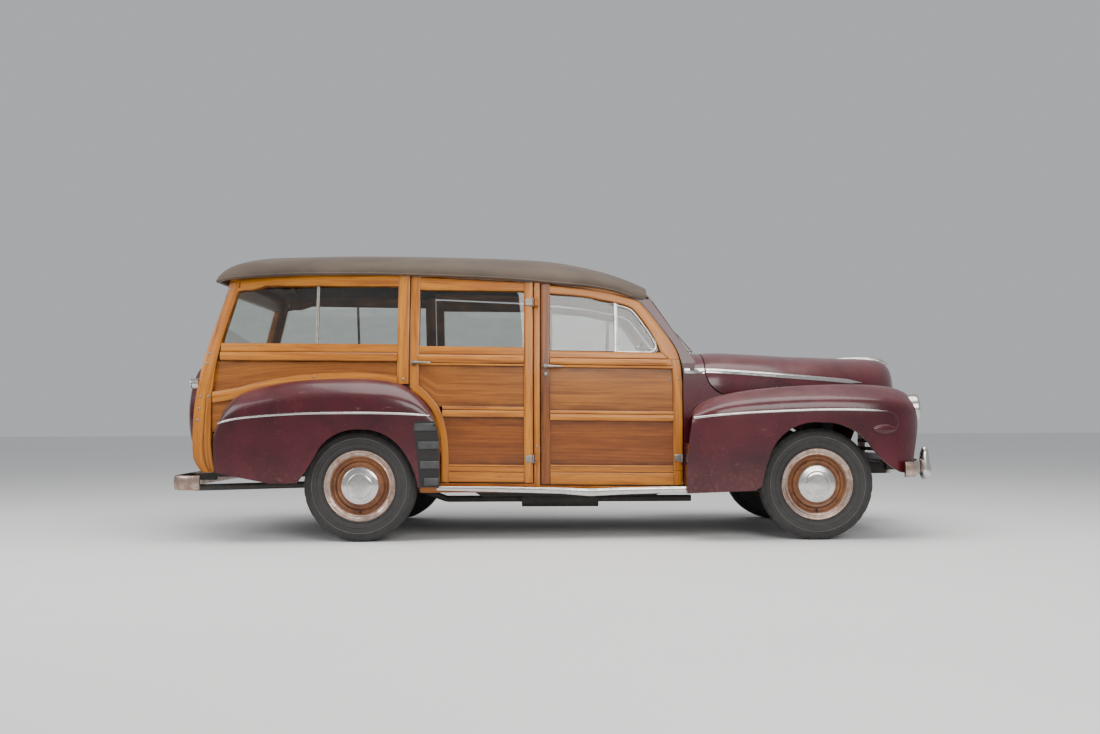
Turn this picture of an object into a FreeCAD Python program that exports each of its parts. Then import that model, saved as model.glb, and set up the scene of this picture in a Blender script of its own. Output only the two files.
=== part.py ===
import FreeCAD
import Part
import Sketcher
import math
import os
from types import SimpleNamespace
from FreeCAD import Placement, Rotation, Vector

# Station wagon with a wooden body, seen in its own frame:
# +X to the front, +Y to the left, +Z up, floor at Z = 0 and the middle of its length at X = 0.

# Driving dimensions in millimetres
SIZES = {
    # Clearances and the overrun of cuts
    "overrun": 30,
    "fit": 0.3,
    "door_gap": 7.2,
    "lid_gap": 6,
    # Stance
    "front_axle_x": 1640,
    "wheelbase": 2896,
    "front_track": 1473,
    "rear_track": 1524,
    # Tyres and wheels
    "tyre_radius": 355,
    "tyre_width": 158,
    "tread_width": 108,
    "bead_radius": 212,
    "bead_width": 120,
    "bulge_radius": 288,
    "flange_radius": 226,
    "flange_reach": 10,
    "trim_radius": 179,
    "trim_depth": 12,
    "bowl_depth": 34,
    "cap_radius": 118,
    "cap_edge_reach": 52,
    "cap_face_radius": 74,
    "cap_reach": 68,
    "disc_thickness": 12,
    # Body side: how wide it is at each height, how it bows along its length, how thick it is
    "side_centre_x": -800,
    "side_bow_radius": 14000,
    "side_sill_z": 338,
    "side_sill_w": 784,
    "side_bulge_z": 740,
    "side_bulge_w": 794,
    "side_belt_z": 1130,
    "side_belt_w": 778,
    "side_eave_z": 1790,
    "side_eave_w": 675,
    "wall_thickness": 45,
    "panel_recess": 14,
    "glass_thickness": 6,
    "glass_inset": 20,
    # Front door
    "front_door_front_x": 798,
    "front_door_length": 908,
    "front_door_bottom_z": 356,
    "front_door_top_z": 1641,
    "front_stile_width": 60,
    "rear_stile_width": 58,
    "front_window_sill_z": 1208,
    "front_belt_bottom_z": 1101,
    "front_mid_top_z": 829,
    "front_mid_bottom_z": 762,
    "front_low_top_z": 480,
    "division_bar_width": 22,
    # Rear door
    "post_width": 37,
    "rear_door_rear_x": -943.4,
    "rear_door_bottom_z": 366,
    "rear_door_top_z": 1652,
    "rear_door_rear_top_z": 1677,
    "rear_window_sill_z": 1229,
    "rear_belt_bottom_z": 1108,
    "rear_mid_top_z": 848,
    "rear_mid_bottom_z": 776,
    "rear_low_top_z": 476,
    # Door handles and hinges
    "handle_length": 140,
    "handle_height": 16,
    "handle_reach": 42,
    "handle_shank_radius": 11,
    "lock_radius": 13,
    "lock_drop": 48,
    "lock_reach": 10,
    "hinge_leaf_length": 56,
    "hinge_leaf_height": 52,
    "hinge_leaf_thickness": 8,
    "hinge_barrel_radius": 9,
    "hinge_offset": 12,
    "hinge_low_z": 520,
    "fixed_knuckle_length": 20,
    "fixed_knuckle_depth": 4,
    "hinge_high_z": 1523,
    # Rear quarter and tail
    "tail_top_x": -2128,
    "tail_belt_x": -2300,
    "tail_low_x": -2352,
    "tail_foot_x": -2292,
    "tail_top_z": 1662,
    "tail_belt_z": 1080,
    "tail_low_z": 650,
    "tail_foot_z": 440,
    "quarter_post_width": 74,
    "quarter_sill_z": 1240,
    "quarter_window_top_z": 1616,
    "quarter_window_rear_x": -2163,
    "arch_rail_height": 70,
    # Tailgate and liftgate
    "gate_thickness": 42,
    "gate_frame_width": 70,
    "gate_split_z": 1132,
    "tailgate_bottom_z": 745,
    "gate_hinge_x": -2359,
    "gate_hinge_z": 742,
    "gate_hinge_w": 450,
    "gate_hinge_radius": 7,
    "gate_hinge_length": 90,
    "gate_bevel": 30,
    "lift_hinge_x": -2140,
    "lift_hinge_z": 1660,
    "lift_hinge_w": 350,
    "lift_hinge_length": 60,
    # Rails and posts of the body frame
    "eave_rail_height": 42,
    "rear_header_depth": 46,
    # Roof
    "roof_thickness": 22,
    "roof_front_x": 575,
    "roof_rear_x": -2230,
    "roof_edge_z": 1644,
    "roof_crown_rise": 189,
    "roof_half_width": 711,
    # Cowl and windshield
    "cowl_front_x": 950,
    "hood_pin_x": 952,
    "hood_pin_z": 1214.5,
    "hood_pin_radius": 1.7,
    "hood_pin_half_length": 40,
    "hood_leaf_reach": 8,
    "cowl_thickness": 10,
    "cowl_half_width": 672,
    "cowl_crown_z": 1216,
    "cowl_shoulder_z": 926,
    "cowl_strip_z": 1060,
    "firewall_thickness": 8,
    "screen_foot_x": 905,
    "screen_foot_z": 1262,
    "screen_head_z": 1650,
    "screen_rise_run": 300,
    "screen_rise_height": 428,
    "screen_half_width": 630,
    "screen_sweep": 112,
    "screen_frame_width": 42,
    "screen_frame_depth": 26,
    "pillar_width": 70,
    # Hood
    "hood_thickness": 12,
    "hood_nose_x": 2347,
    "hood_low_z": 926,
    # Front fenders
    "front_fender_rear_x": 806,
    "front_fender_half_width": 925,
    "front_fender_top_z": 984,
    "front_fender_bottom_z": 303,
    "fender_thickness": 12,
    "front_arch_rear_x": 1229,
    "front_arch_front_x": 2139,
    "front_arch_top_z": 745,
    # Rear fenders
    "rear_fender_half_width": 932,
    "rear_fender_top_z": 1020,
    "rear_fender_bottom_z": 348,
    "rear_fender_front_x": -748,
    "rear_fender_rear_x": -2168,
    "rear_arch_top_z": 713,
    "rear_arch_front_x": -879,
    "rear_arch_rear_x": -1631,
    "guard_thickness": 4,
    "guard_height": 415,
    "guard_length": 165,
    # Nose, grille and lamps
    "nose_x": 2300,
    "nose_half_width": 560,
    "grille_half_width": 335,
    "grille_bottom_z": 520,
    "grille_top_z": 790,
    "grille_bar_height": 26,
    "grille_bar_gap": 30,
    "grille_bar_depth": 30,
    "grille_reach": 30,
    "apron_bottom_z": 470,
    "apron_top_z": 887,
    "apron_depth": 40,
    "lamp_w": 660,
    "lamp_z": 828,
    "lamp_radius": 98,
    "lamp_reach": 22,
    "lamp_depth": 60,
    "tail_lamp_z": 1010,
    "tail_lamp_radius": 32,
    "tail_lamp_depth": 38,
    # Bumpers
    "front_bumper_x": 2448,
    "front_bumper_z": 450,
    "front_bumper_height": 100,
    "rear_bumper_x": -2452,
    "rear_bumper_z": 381,
    "rear_bumper_height": 96,
    "bumper_thickness": 12,
    "bumper_half_width": 900,
    "front_wrap": 100,
    "rear_wrap": 200,
    "bumper_height_round": 90,
    "front_bow": 190,
    "rear_bow": 30,
    "guard_post_w": 400,
    "guard_post_width": 60,
    "guard_post_height": 222,
    "guard_post_reach": 80,
    "bracket_width": 60,
    "bracket_height": 40,
    # Sill
    "sill_height": 46,
    "sill_half_width": 862,
    "sill_depth": 50,
    # Chassis
    "rail_width": 60,
    "rail_height": 128,
    "rail_low_z": 262,
    "rail_kick_z": 425,
    "rail_front_z": 400,
    "rail_front_w": 390,
    "rail_rear_w": 520,
    "rail_front_x": 2200,
    "rail_rear_x": -2290,
    "cross_width": 80,
    "cross_height": 60,
    # Floor
    "floor_thickness": 12,
    "front_floor_z": 396,
    "rear_floor_z": 560,
    "heel_x": -505,
    "toe_x": 640,
    "toe_top_z": 640,
    "housing_half_width": 640,
    "housing_top_z": 800,
    "housing_length": 860,
    "floor_edge_inset": 10,
    "cargo_board_length": 390,
    "cargo_board_half_width": 600,
    "cargo_board_thickness": 6,
    "cargo_board_rear_x": -2290,
    "housing_clearance": 20,
    # Running gear
    "axle_beam_height": 52,
    "axle_beam_width": 46,
    "axle_drop": 70,
    "kingpin_w": 650,
    "kingpin_radius": 14,
    "kingpin_length": 130,
    "spindle_radius": 22,
    "knuckle_width": 52,
    "knuckle_height": 110,
    "drum_radius": 150,
    "drum_width": 55,
    "steer_arm_length": 140,
    "steer_arm_width": 26,
    "arm_swing_radius": 58,
    "arm_swing_rise": 5,
    "tie_rod_radius": 12,
    "tie_rod_drop": 34,
    "spring_width": 50,
    "spring_height": 46,
    "spring_arch": 90,
    "radius_rod_radius": 16,
    "axle_tube_radius": 40,
    "banjo_radius": 105,
    "banjo_width": 130,
    "torque_tube_radius": 34,
    "torque_tube_length": 1500,
    # Engine, radiator, tank, exhaust
    "engine_length": 600,
    "engine_width": 560,
    "engine_height": 520,
    "engine_bottom_z": 430,
    "engine_gap": 20,
    "radiator_x": 1800,
    "radiator_depth": 70,
    "radiator_width": 560,
    "radiator_height": 560,
    "radiator_bottom_z": 470,
    "tank_length": 420,
    "tank_width": 760,
    "tank_height": 170,
    "tank_rear_x": -1720,
    "exhaust_radius": 22,
    "exhaust_w": 425,
    "exhaust_z": 345,
    "exhaust_low_z": 230,
    "exhaust_over_z": 432,
    "exhaust_low_w": 270,
    "exhaust_drop_length": 260,
    "silencer_radius": 55,
    "silencer_length": 520,
    "exhaust_tail_x": -2430,
    "exhaust_front_x": 900,
    # Seats
    "seat_width": 1240,
    "rear_seat_width": 1200,
    "seat_depth": 500,
    "seat_cushion_height": 170,
    "seat_base_height": 150,
    "seat_back_height": 560,
    "seat_back_thickness": 130,
    "seat_back_lean": 90,
    "seat_joint_gap": 3,
    "front_seat_x": 350,
    "middle_seat_x": -520,
    "third_seat_x": -1300,
    # Dashboard and steering
    "dash_x": 690,
    "dash_depth": 110,
    "dash_flange": 36,
    "dash_height": 220,
    "dash_z": 905,
    "dash_half_width": 637,
    "dash_link_half_width": 560,
    "column_w": 370,
    "column_radius": 24,
    "wheel_hub_x": 430,
    "wheel_hub_z": 1040,
    "column_foot_x": 905,
    "column_foot_z": 655,
    "steering_radius": 215,
    "steering_rim_radius": 12,
    "steering_hub_radius": 38,
    "spoke_radius": 7,
    "column_gap": 7.4,
    # Spare wheel
    "spare_radius": 355,
    "spare_width": 152,
    "spare_z": 803,
    "spare_round": 46,
    "spare_face_x": -2360,
    "carrier_thickness": 8,
    "carrier_width": 120,
    "carrier_pivot_x": -2320,
    "carrier_pivot_z": 1115,
    "carrier_barrel_radius": 8,
    "carrier_barrel_length": 80,
    "ear_width": 14,
    "ear_gap": 1,
}

# Slopes and proportions, which are not lengths
RAKE_SHARE = 0.0143
PIN_LEAN_SHARE = 0.041
SIDE_SWEEP_DEGREES = 18
FRONT_DOOR_SHARES = [
    (0, 1), (0.319, 0.977, "via"), (0.595, 0.938), (0.672, 0.922, "via"), (0.721, 0.899),
    (0.837, 0.796, "via"), (0.931, 0.703), (0.986, 0.612, "via"), (1, 0.504),
]
FRONT_WINDOW_SHARES = [(0, 1), (0.5, 0.965, "via"), (1, 0.87)]
VENT_SHARES = [
    (0, 1), (0.25, 0.945, "via"), (0.5, 0.79), (0.8, 0.44, "via"), (1, 0.13), (0.99, 0.0, "via"),
    (0.84, 0.0),
]
REAR_DOOR_CURVE_SHARES = [(0, 0.46), (0.183, 0.351, "via"), (0.2545, 0.147)]
REAR_PANEL_CURVE_SHARES = [(0.068, 0.474), (0.17, 0.411, "via"), (0.237, 0.369)]


class Size:
    """A length worked out from cells of the sheet, kept together with its formula."""

    def __init__(self, value, formula):
        self.value = value
        self.formula = formula

    def __float__(self):
        return float(self.value)

    def __add__(self, other):
        other = as_size(other)
        return Size(self.value + other.value, f"({self.formula} + {other.formula})")

    def __sub__(self, other):
        other = as_size(other)
        return Size(self.value - other.value, f"({self.formula} - {other.formula})")

    def __mul__(self, other):
        other = as_size(other)
        return Size(self.value * other.value, f"({self.formula} * {other.formula})")

    def __truediv__(self, other):
        other = as_size(other)
        return Size(self.value / other.value, f"({self.formula} / {other.formula})")

    def __neg__(self):
        return Size(-self.value, f"(0 - {self.formula})")

    __radd__ = __add__
    __rmul__ = __mul__

    def __rsub__(self, other):
        return as_size(other) - self


def as_size(value):
    return value if isinstance(value, Size) else Size(value, repr(value))


doc = FreeCAD.newDocument("StationWagon")
sheet = doc.addObject("Spreadsheet::Sheet", "Sizes")
for row, (title, amount) in enumerate(SIZES.items(), start=1):
    sheet.set(f"A{row}", title)
    sheet.set(f"B{row}", str(amount))
    sheet.setAlias(f"B{row}", title)
doc.recompute()
S = SimpleNamespace(**{title: Size(amount, f"Sizes.{title}") for title, amount in SIZES.items()})

SIDE_PLANE = Rotation(Vector(1, 0, 0), 90)
FRONT_PLANE = Rotation(Vector(1, 1, 1), 120)
TOP_PLANE = Rotation()
ALONG = {"x": Vector(1, 0, 0), "y": Vector(0, 1, 0), "z": Vector(0, 0, 1)}
NODES = []


# Building blocks


def bind(target, **sizes):
    for prop, length in sizes.items():
        target.setExpression(prop, as_size(length).formula)
    return target


def place(target, x=0, y=0, z=0, rotation=None):
    if rotation is not None:
        target.Placement = Placement(Vector(float(x), float(y), float(z)), rotation)
    for axis, length in zip("xyz", (x, y, z)):
        target.setExpression(f"Placement.Base.{axis}", as_size(length).formula)
    return target


def flat(point):
    return Vector(float(point[0]), float(point[1]), 0)


def arc_through(start, middle, end):
    """An arc from start to end, and whether its own start is the given one."""
    circle = Part.Arc(flat(start), flat(middle), flat(end)).toShape().Curve
    centre = circle.Center
    angles = []
    for point in (start, middle, end):
        spoke = flat(point) - centre
        angles.append(math.atan2(spoke.y, spoke.x))
    turn = 2 * math.pi
    forward = (angles[1] - angles[0]) % turn < (angles[2] - angles[0]) % turn
    first, last = (angles[0], angles[2]) if forward else (angles[2], angles[0])
    base = Part.Circle(centre, Vector(0, 0, 1), circle.Radius)
    return Part.ArcOfCircle(base, first, last), forward


def draw(sketch, points):
    """A closed outline of lines and, through each point marked via, arcs."""
    corners = [point for point in points if len(point) == 2]
    vias = {}
    for index, point in enumerate(points):
        if len(point) == 3:
            vias[sum(len(other) == 2 for other in points[:index]) - 1] = point
    first_edge = sketch.GeometryCount
    edges = []
    ends = []
    for index, corner in enumerate(corners):
        following = corners[(index + 1) % len(corners)]
        if index in vias:
            arc, forward = arc_through(corner, vias[index], following)
            edges.append(arc)
            ends.append((1, 2) if forward else (2, 1))
        else:
            edges.append(Part.LineSegment(flat(corner), flat(following)))
            ends.append((1, 2))
    sketch.addGeometry(edges, False)
    constraints = []
    formulas = []

    def fix(edge, end, point):
        for kind, length in zip(("DistanceX", "DistanceY"), point):
            constraints.append(Sketcher.Constraint(kind, -1, 1, edge, end, float(length)))
            formulas.append(as_size(length).formula)

    for index, corner in enumerate(corners):
        fix(first_edge + index, ends[index][0], corner)
        previous = (index - 1) % len(corners)
        constraints.append(Sketcher.Constraint(
            "Coincident", first_edge + previous, ends[previous][1], first_edge + index, ends[index][0]))
        formulas.append(None)
    for index, via in vias.items():
        marker = sketch.addGeometry(Part.Point(flat(via)), True)
        fix(marker, 1, via[:2])
        constraints.append(Sketcher.Constraint("PointOnObject", marker, 1, first_edge + index))
        formulas.append(None)
    numbers = sketch.addConstraint(constraints)
    for number, formula in zip(numbers, formulas):
        if formula is not None:
            sketch.setExpression(f"Constraints[{number}]", formula)


def outline(name, *loops, plane=SIDE_PLANE, x=0, y=0, z=0):
    sketch = doc.addObject("Sketcher::SketchObject", name)
    place(sketch, x, y, z, plane)
    for points in loops:
        draw(sketch, points)
    return sketch


def prism(name, sketch, low, high, axis="y"):
    solid = doc.addObject("Part::Extrusion", name)
    solid.Base = sketch
    solid.DirMode = "Custom"
    solid.Dir = ALONG[axis]
    solid.Solid = True
    return bind(solid, LengthFwd=high, LengthRev=-as_size(low))


def block(name, x, y, z):
    """A box between two corners, each of x, y and z a pair of low and high."""
    solid = doc.addObject("Part::Box", name)
    bind(solid, Length=x[1] - x[0], Width=y[1] - y[0], Height=z[1] - z[0])
    return place(solid, x[0], y[0], z[0])


TURNS = {
    "x": Rotation(Vector(0, 1, 0), 90),
    "y": Rotation(Vector(1, 0, 0), -90),
    "z": Rotation(),
}


def rod(name, radius, length, axis, x, y, z):
    solid = doc.addObject("Part::Cylinder", name)
    bind(solid, Radius=radius, Height=length)
    return place(solid, x, y, z, TURNS[axis])


def strut(name, radius, start, end):
    """A round bar from one point to another."""
    low = Vector(*(float(length) for length in start))
    span = Vector(*(float(length) for length in end)) - low
    solid = doc.addObject("Part::Cylinder", name)
    bind(solid, Radius=radius)
    solid.Height = span.Length
    return place(solid, *start, rotation=Rotation(Vector(0, 0, 1), span))


def fuse(name, *shapes):
    solid = doc.addObject("Part::MultiFuse", name)
    solid.Shapes = list(shapes)
    return solid


def common(name, *shapes):
    solid = doc.addObject("Part::MultiCommon", name)
    solid.Shapes = list(shapes)
    return solid


def cut(name, base, tool):
    solid = doc.addObject("Part::Cut", name)
    solid.Base = base
    solid.Tool = tool
    return solid


def mirror(name, source):
    solid = doc.addObject("Part::Mirroring", name)
    solid.Source = source
    solid.Normal = Vector(0, 1, 0)
    return solid


def bundle(name, *shapes):
    """Separate solids that share a node."""
    group = doc.addObject("Part::Compound", name)
    group.Links = list(shapes)
    return group


def form(name, shape):
    feature = doc.addObject("Part::Feature", name)
    feature.Shape = shape
    return feature


def node(label, target):
    target.Label = label
    NODES.append(target)
    return target


def turned(name, profile, x, y, z):
    """A body turned about an axis along Y; the profile holds pairs of reach and radius."""
    body = doc.addObject("PartDesign::Body", name)
    sketch = body.newObject("Sketcher::SketchObject", name + "Profile")
    plane = next(item for item in body.Origin.OriginFeatures if item.Role == "YZ_Plane")
    sketch.AttachmentSupport = (plane, [""])
    sketch.MapMode = "FlatFace"
    draw(sketch, profile)
    turn = body.newObject("PartDesign::Revolution", name + "Turn")
    turn.Profile = sketch
    turn.ReferenceAxis = (sketch, ["H_Axis"])
    turn.Angle = 360
    return place(body, x, y, z)


def raked(z, x):
    """A height given at X = 0, on a line that falls towards the front."""
    return z - x * RAKE_SHARE


def bowed(w, x):
    """A half-width given at the middle of the side, drawn in by the bow of the side."""
    away = x - S.side_centre_x
    return w - away * away / (S.side_bow_radius * 2)


def side_width(x, z):
    """The half-width of the body side at a place on it."""
    heights = [S.side_sill_z, S.side_bulge_z, S.side_belt_z, S.side_eave_z]
    widths = [S.side_sill_w, S.side_bulge_w, S.side_belt_w, S.side_eave_w]
    for low in range(len(heights) - 1):
        if float(z) <= float(heights[low + 1]) or low == len(heights) - 2:
            share = (z - heights[low]) / (heights[low + 1] - heights[low])
            return bowed(widths[low] + (widths[low + 1] - widths[low]) * share, x)


def spread(shares, x0, x1, z0, z1):
    """Points given as shares of the span from x0 to x1 and from z0 to z1."""
    points = []
    for share in shares:
        points.append((x0 + (x1 - x0) * share[0], z0 + (z1 - z0) * share[1], *share[2:]))
    return points


# Body side, as a slab between two depths under its outer surface


def side_slab(name, outer, inner):
    points = []
    for depth, order in ((outer, 1), (inner, -1)):
        edge = [
            (S.side_sill_w - depth, S.side_sill_z - S.overrun),
            (S.side_bulge_w - depth, S.side_bulge_z, "via"),
            (S.side_belt_w - depth, S.side_belt_z),
            (S.side_eave_w - depth, S.side_eave_z),
        ]
        points += edge[::order]
    section = outline(name + "Section", points, plane=FRONT_PLANE, x=S.side_centre_x)
    slab = doc.addObject("Part::Revolution", name)
    slab.Source = section
    slab.Axis = Vector(0, 0, 1)
    slab.Angle = SIDE_SWEEP_DEGREES
    slab.Symmetric = True
    slab.Solid = True
    slab.setExpression("Base.x", S.side_centre_x.formula)
    slab.setExpression("Base.y", (S.side_bulge_w - S.side_bow_radius).formula)
    return slab


wall = side_slab("SideWall", 0, S.wall_thickness)
skin = side_slab("SideSkin", -S.overrun, S.panel_recess)
pane = side_slab("SidePane", S.glass_inset, S.glass_inset + S.glass_thickness)
body_space = side_slab("SideSpace", 0, S.wall_thickness * 1.5)
reach_low = S.side_bulge_w * 0.5
reach_high = S.side_bulge_w * 1.5

# Places along the body side
front_door_rear_x = S.front_door_front_x - S.front_door_length
post_front_x = front_door_rear_x - S.door_gap
post_rear_x = post_front_x - S.post_width
rear_door_front_x = post_rear_x - S.door_gap
rear_door_length = rear_door_front_x - S.rear_door_rear_x
quarter_front_x = S.rear_door_rear_x - S.door_gap
rear_axle_x = S.front_axle_x - S.wheelbase


# Front door
def front_door_outline(grow):
    """The door's edge, grown by a gap on all sides."""
    rear = front_door_rear_x - grow
    front = S.front_door_front_x + grow
    points = spread(FRONT_DOOR_SHARES, rear, front, S.front_door_bottom_z - grow, S.front_door_top_z + grow)
    points.append((front, raked(S.front_door_bottom_z - grow, front)))
    points.append((rear, raked(S.front_door_bottom_z - grow, rear)))
    return points


def raked_quad(rear, front, low, high):
    return [
        (rear, raked(low, rear)), (rear, raked(high, rear)),
        (front, raked(high, front)), (front, raked(low, front)),
    ]


panel_rear = front_door_rear_x + S.rear_stile_width
panel_front = S.front_door_front_x - S.front_stile_width
bar_rear = panel_rear + S.front_door_length * 0.452
bar_front = bar_rear + S.division_bar_width
window_top = S.front_door_top_z - S.front_stile_width
window = spread(FRONT_WINDOW_SHARES, panel_rear, bar_rear, S.front_window_sill_z, window_top)
window += [(bar_rear, raked(S.front_window_sill_z, bar_rear)), (panel_rear, S.front_window_sill_z)]
vent_front = panel_front - S.front_door_length * 0.105
vent = spread(VENT_SHARES, bar_front, vent_front, S.front_window_sill_z, window_top - S.front_stile_width)
vent.append((bar_front, raked(S.front_window_sill_z, bar_front)))

door_edge = prism("FrontDoorEdge", outline("FrontDoorOutline", front_door_outline(0)), reach_low, reach_high)
opening = prism("FrontDoorLight", outline("FrontDoorLights", window, vent), reach_low, reach_high)
recess = common("FrontDoorRecess", skin, prism(
    "FrontDoorPanels",
    outline(
        "FrontDoorPanelOutlines",
        raked_quad(panel_rear, panel_front, S.front_mid_top_z, S.front_belt_bottom_z),
        raked_quad(panel_rear, panel_front, S.front_low_top_z, S.front_mid_bottom_z)),
    reach_low, reach_high))
front_door_wood = cut(
    "FrontDoorWood", common("FrontDoorSlab", wall, door_edge), fuse("FrontDoorCuts", opening, recess))
front_glass = common("FrontGlass", pane, opening)


# Rear door
def rear_door_outline(grow):
    rear = S.rear_door_rear_x - grow
    front = rear_door_front_x + grow
    points = spread(
        REAR_DOOR_CURVE_SHARES, rear, front, S.rear_door_bottom_z - grow, S.rear_door_rear_top_z + grow)
    foot_x = points[-1][0]
    points.append((foot_x, raked(S.rear_door_bottom_z - grow, foot_x)))
    points.append((front, raked(S.rear_door_bottom_z - grow, front)))
    points.append((front, S.rear_door_top_z + grow))
    points.append((rear, raked(S.rear_door_rear_top_z + grow, rear)))
    return points


rear_panel_rear = S.rear_door_rear_x + S.rear_stile_width
rear_panel_front = rear_door_front_x - S.rear_stile_width
upper_panel = spread(
    REAR_PANEL_CURVE_SHARES, S.rear_door_rear_x, rear_door_front_x,
    S.rear_door_bottom_z, S.rear_door_rear_top_z)
upper_panel += [
    (rear_panel_front, raked(S.rear_mid_top_z, rear_panel_front)),
    (rear_panel_front, raked(S.rear_belt_bottom_z, rear_panel_front)),
    (upper_panel[0][0], raked(S.rear_belt_bottom_z, rear_panel_rear)),
]
curve_foot = S.rear_door_rear_x + rear_door_length * 0.315
lower_panel = raked_quad(curve_foot, rear_panel_front, S.rear_low_top_z, S.rear_mid_bottom_z)
rear_window_top = S.rear_door_top_z - S.rear_stile_width
rear_window = raked_quad(rear_panel_rear, rear_panel_front, S.rear_window_sill_z, rear_window_top)
rear_edge = prism("RearDoorEdge", outline("RearDoorOutline", rear_door_outline(0)), reach_low, reach_high)
rear_opening = prism("RearDoorLight", outline("RearDoorWindow", rear_window), reach_low, reach_high)
rear_recess = common("RearDoorRecess", skin, prism(
    "RearDoorPanels", outline("RearDoorPanelOutlines", upper_panel, lower_panel), reach_low, reach_high))
rear_door_wood = cut(
    "RearDoorWood", common("RearDoorSlab", wall, rear_edge), fuse("RearDoorCuts", rear_opening, rear_recess))
rear_glass = common("RearGlass", pane, rear_opening)


# Handles and hinges, fused to the doors that carry them
def handle(name, x, z, direction):
    """A pull handle on its shank, with the lock below it."""
    surface = side_width(x, z)
    shank = rod(name + "Shank", S.handle_shank_radius, S.handle_reach + S.panel_recess, "y",
                x, surface - S.panel_recess, z)
    low = x if direction > 0 else x - S.handle_length
    grip = block(name + "Grip", (low, low + S.handle_length),
                 (surface + S.handle_reach - S.handle_height, surface + S.handle_reach),
                 (z - S.handle_height * 0.5, z + S.handle_height * 0.5))
    lock = rod(name + "Lock", S.lock_radius, S.lock_reach + S.panel_recess, "y",
               x, side_width(x, z - S.lock_drop) - S.panel_recess, z - S.lock_drop)
    return [shank, grip, lock]


def hinge(name, x, z, pin_w, lean=0):
    """The leaf on the door that reaches out to the pin, with its barrel along the line of the hinges."""
    surface = side_width(x, z)
    reach = (x - S.hinge_leaf_length, x)
    height = (z - S.hinge_leaf_height * 0.5, z + S.hinge_leaf_height * 0.5)
    leaf = block(name + "Leaf", reach, (surface - S.panel_recess, pin_w + S.hinge_leaf_thickness * 0.5), height)
    tilt = S.hinge_leaf_height * (0.5 * lean)
    barrel = strut(name + "Barrel", S.hinge_barrel_radius, (x, pin_w + tilt, height[0]), (x, pin_w - tilt, height[1]))
    return [leaf, barrel]


front_pin_x = S.front_door_front_x - S.hinge_barrel_radius * 0.5
front_pin_w = side_width(front_pin_x, S.side_bulge_z) + S.hinge_offset
rear_pin_x = rear_door_front_x + S.door_gap * 0.5
rear_pin_w = side_width(rear_pin_x, S.side_bulge_z) + S.hinge_offset
front_handle = handle("FrontHandle", front_door_rear_x + S.rear_stile_width * 0.5, S.front_belt_bottom_z + S.lock_radius * 0.5, 1)
rear_handle = handle("RearHandle", S.rear_door_rear_x + S.rear_stile_width * 0.5, S.rear_belt_bottom_z + S.lock_drop * 0.5, 1)

front_hinge = hinge("FrontHinge", front_pin_x, S.hinge_low_z, front_pin_w)
low_hinge = hinge(
    "RearLowHinge", rear_pin_x, S.hinge_low_z, rear_pin_w - (S.hinge_low_z - S.side_bulge_z) * PIN_LEAN_SHARE,
    PIN_LEAN_SHARE)
high_hinge = hinge(
    "RearHighHinge", rear_pin_x, S.hinge_high_z, rear_pin_w - (S.hinge_high_z - S.side_bulge_z) * PIN_LEAN_SHARE,
    PIN_LEAN_SHARE)
node("front_door_left", fuse("FrontDoorLeft", front_door_wood, *front_handle, *front_hinge))
node("front_door_right", mirror("FrontDoorRight", NODES[-1]))
node("rear_door_left", fuse("RearDoorLeft", rear_door_wood, *rear_handle, *low_hinge, *high_hinge))
node("rear_door_right", mirror("RearDoorRight", NODES[-1]))
node("front_door_glass_left", front_glass)
node("front_door_glass_right", mirror("FrontGlassRight", front_glass))
node("rear_door_glass_left", rear_glass)
node("rear_door_glass_right", mirror("RearGlassRight", rear_glass))


# Steel and fabric forms that need free surfaces


def crown(half_width, low_z, high_z, roundness, count, inset=0.0):
    """Points of an arched section from left to right, as pairs of Y and Z."""
    points = []
    for index in range(count + 1):
        angle = math.pi * index / count
        across = math.copysign(abs(math.cos(angle)) ** (2 / roundness), math.cos(angle))
        up = abs(math.sin(angle)) ** (2 / roundness)
        points.append((across * (half_width - inset), low_z + up * (high_z - inset - low_z)))
    return points


def at_station(x, points):
    return [Vector(x, across, up) for across, up in points]


def arched_wire(points):
    """A smooth curve through the points, closed below by a straight line."""
    curve = Part.BSplineCurve()
    curve.interpolate(points)
    return Part.Wire([curve.toShape(), Part.makeLine(points[-1], points[0])])


def straight_wire(points):
    return Part.makePolygon(points + points[:1])


# Roof: shares along its length, of its half-width, its edge and its crown above the edge at X = 0
ROOF_SHARES = [
    (0.0, 0.845, 0.153, 0.40), (0.0114, 0.914, 0.164, 0.65), (0.0321, 0.970, 0.175, 0.894),
    (0.0617, 0.989, 0.222, 1.053), (0.1034, 0.994, 0.254, 1.169), (0.157, 0.997, 0.291, 1.206),
    (0.30, 1.0, 0.323, 1.243), (0.456, 0.999, 0.302, 1.222), (0.652, 0.989, 0.169, 1.148),
    (0.795, 0.973, 0.0, 1.0), (0.87, 0.959, -0.111, 0.778), (0.93, 0.944, -0.275, 0.519),
    (0.9765, 0.924, -0.508, 0.254), (1.0, 0.90, -0.55, 0.085),
]
ROOF_ROUNDNESS = 2.8
ROOF_INNER_ROWS = (0, 2, 4, 6, 8, 9, 10, 11, 12, 13)


def roof_place(row, inset=0.0):
    along, width, edge, top = row
    x = float(S.roof_rear_x + (S.roof_front_x - S.roof_rear_x) * along)
    low = float(S.roof_edge_z + S.roof_crown_rise * edge)
    high = float(S.roof_edge_z + S.roof_crown_rise * top)
    return x, low, crown(float(S.roof_half_width) * width, low, high, ROOF_ROUNDNESS, 16, inset)


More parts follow.
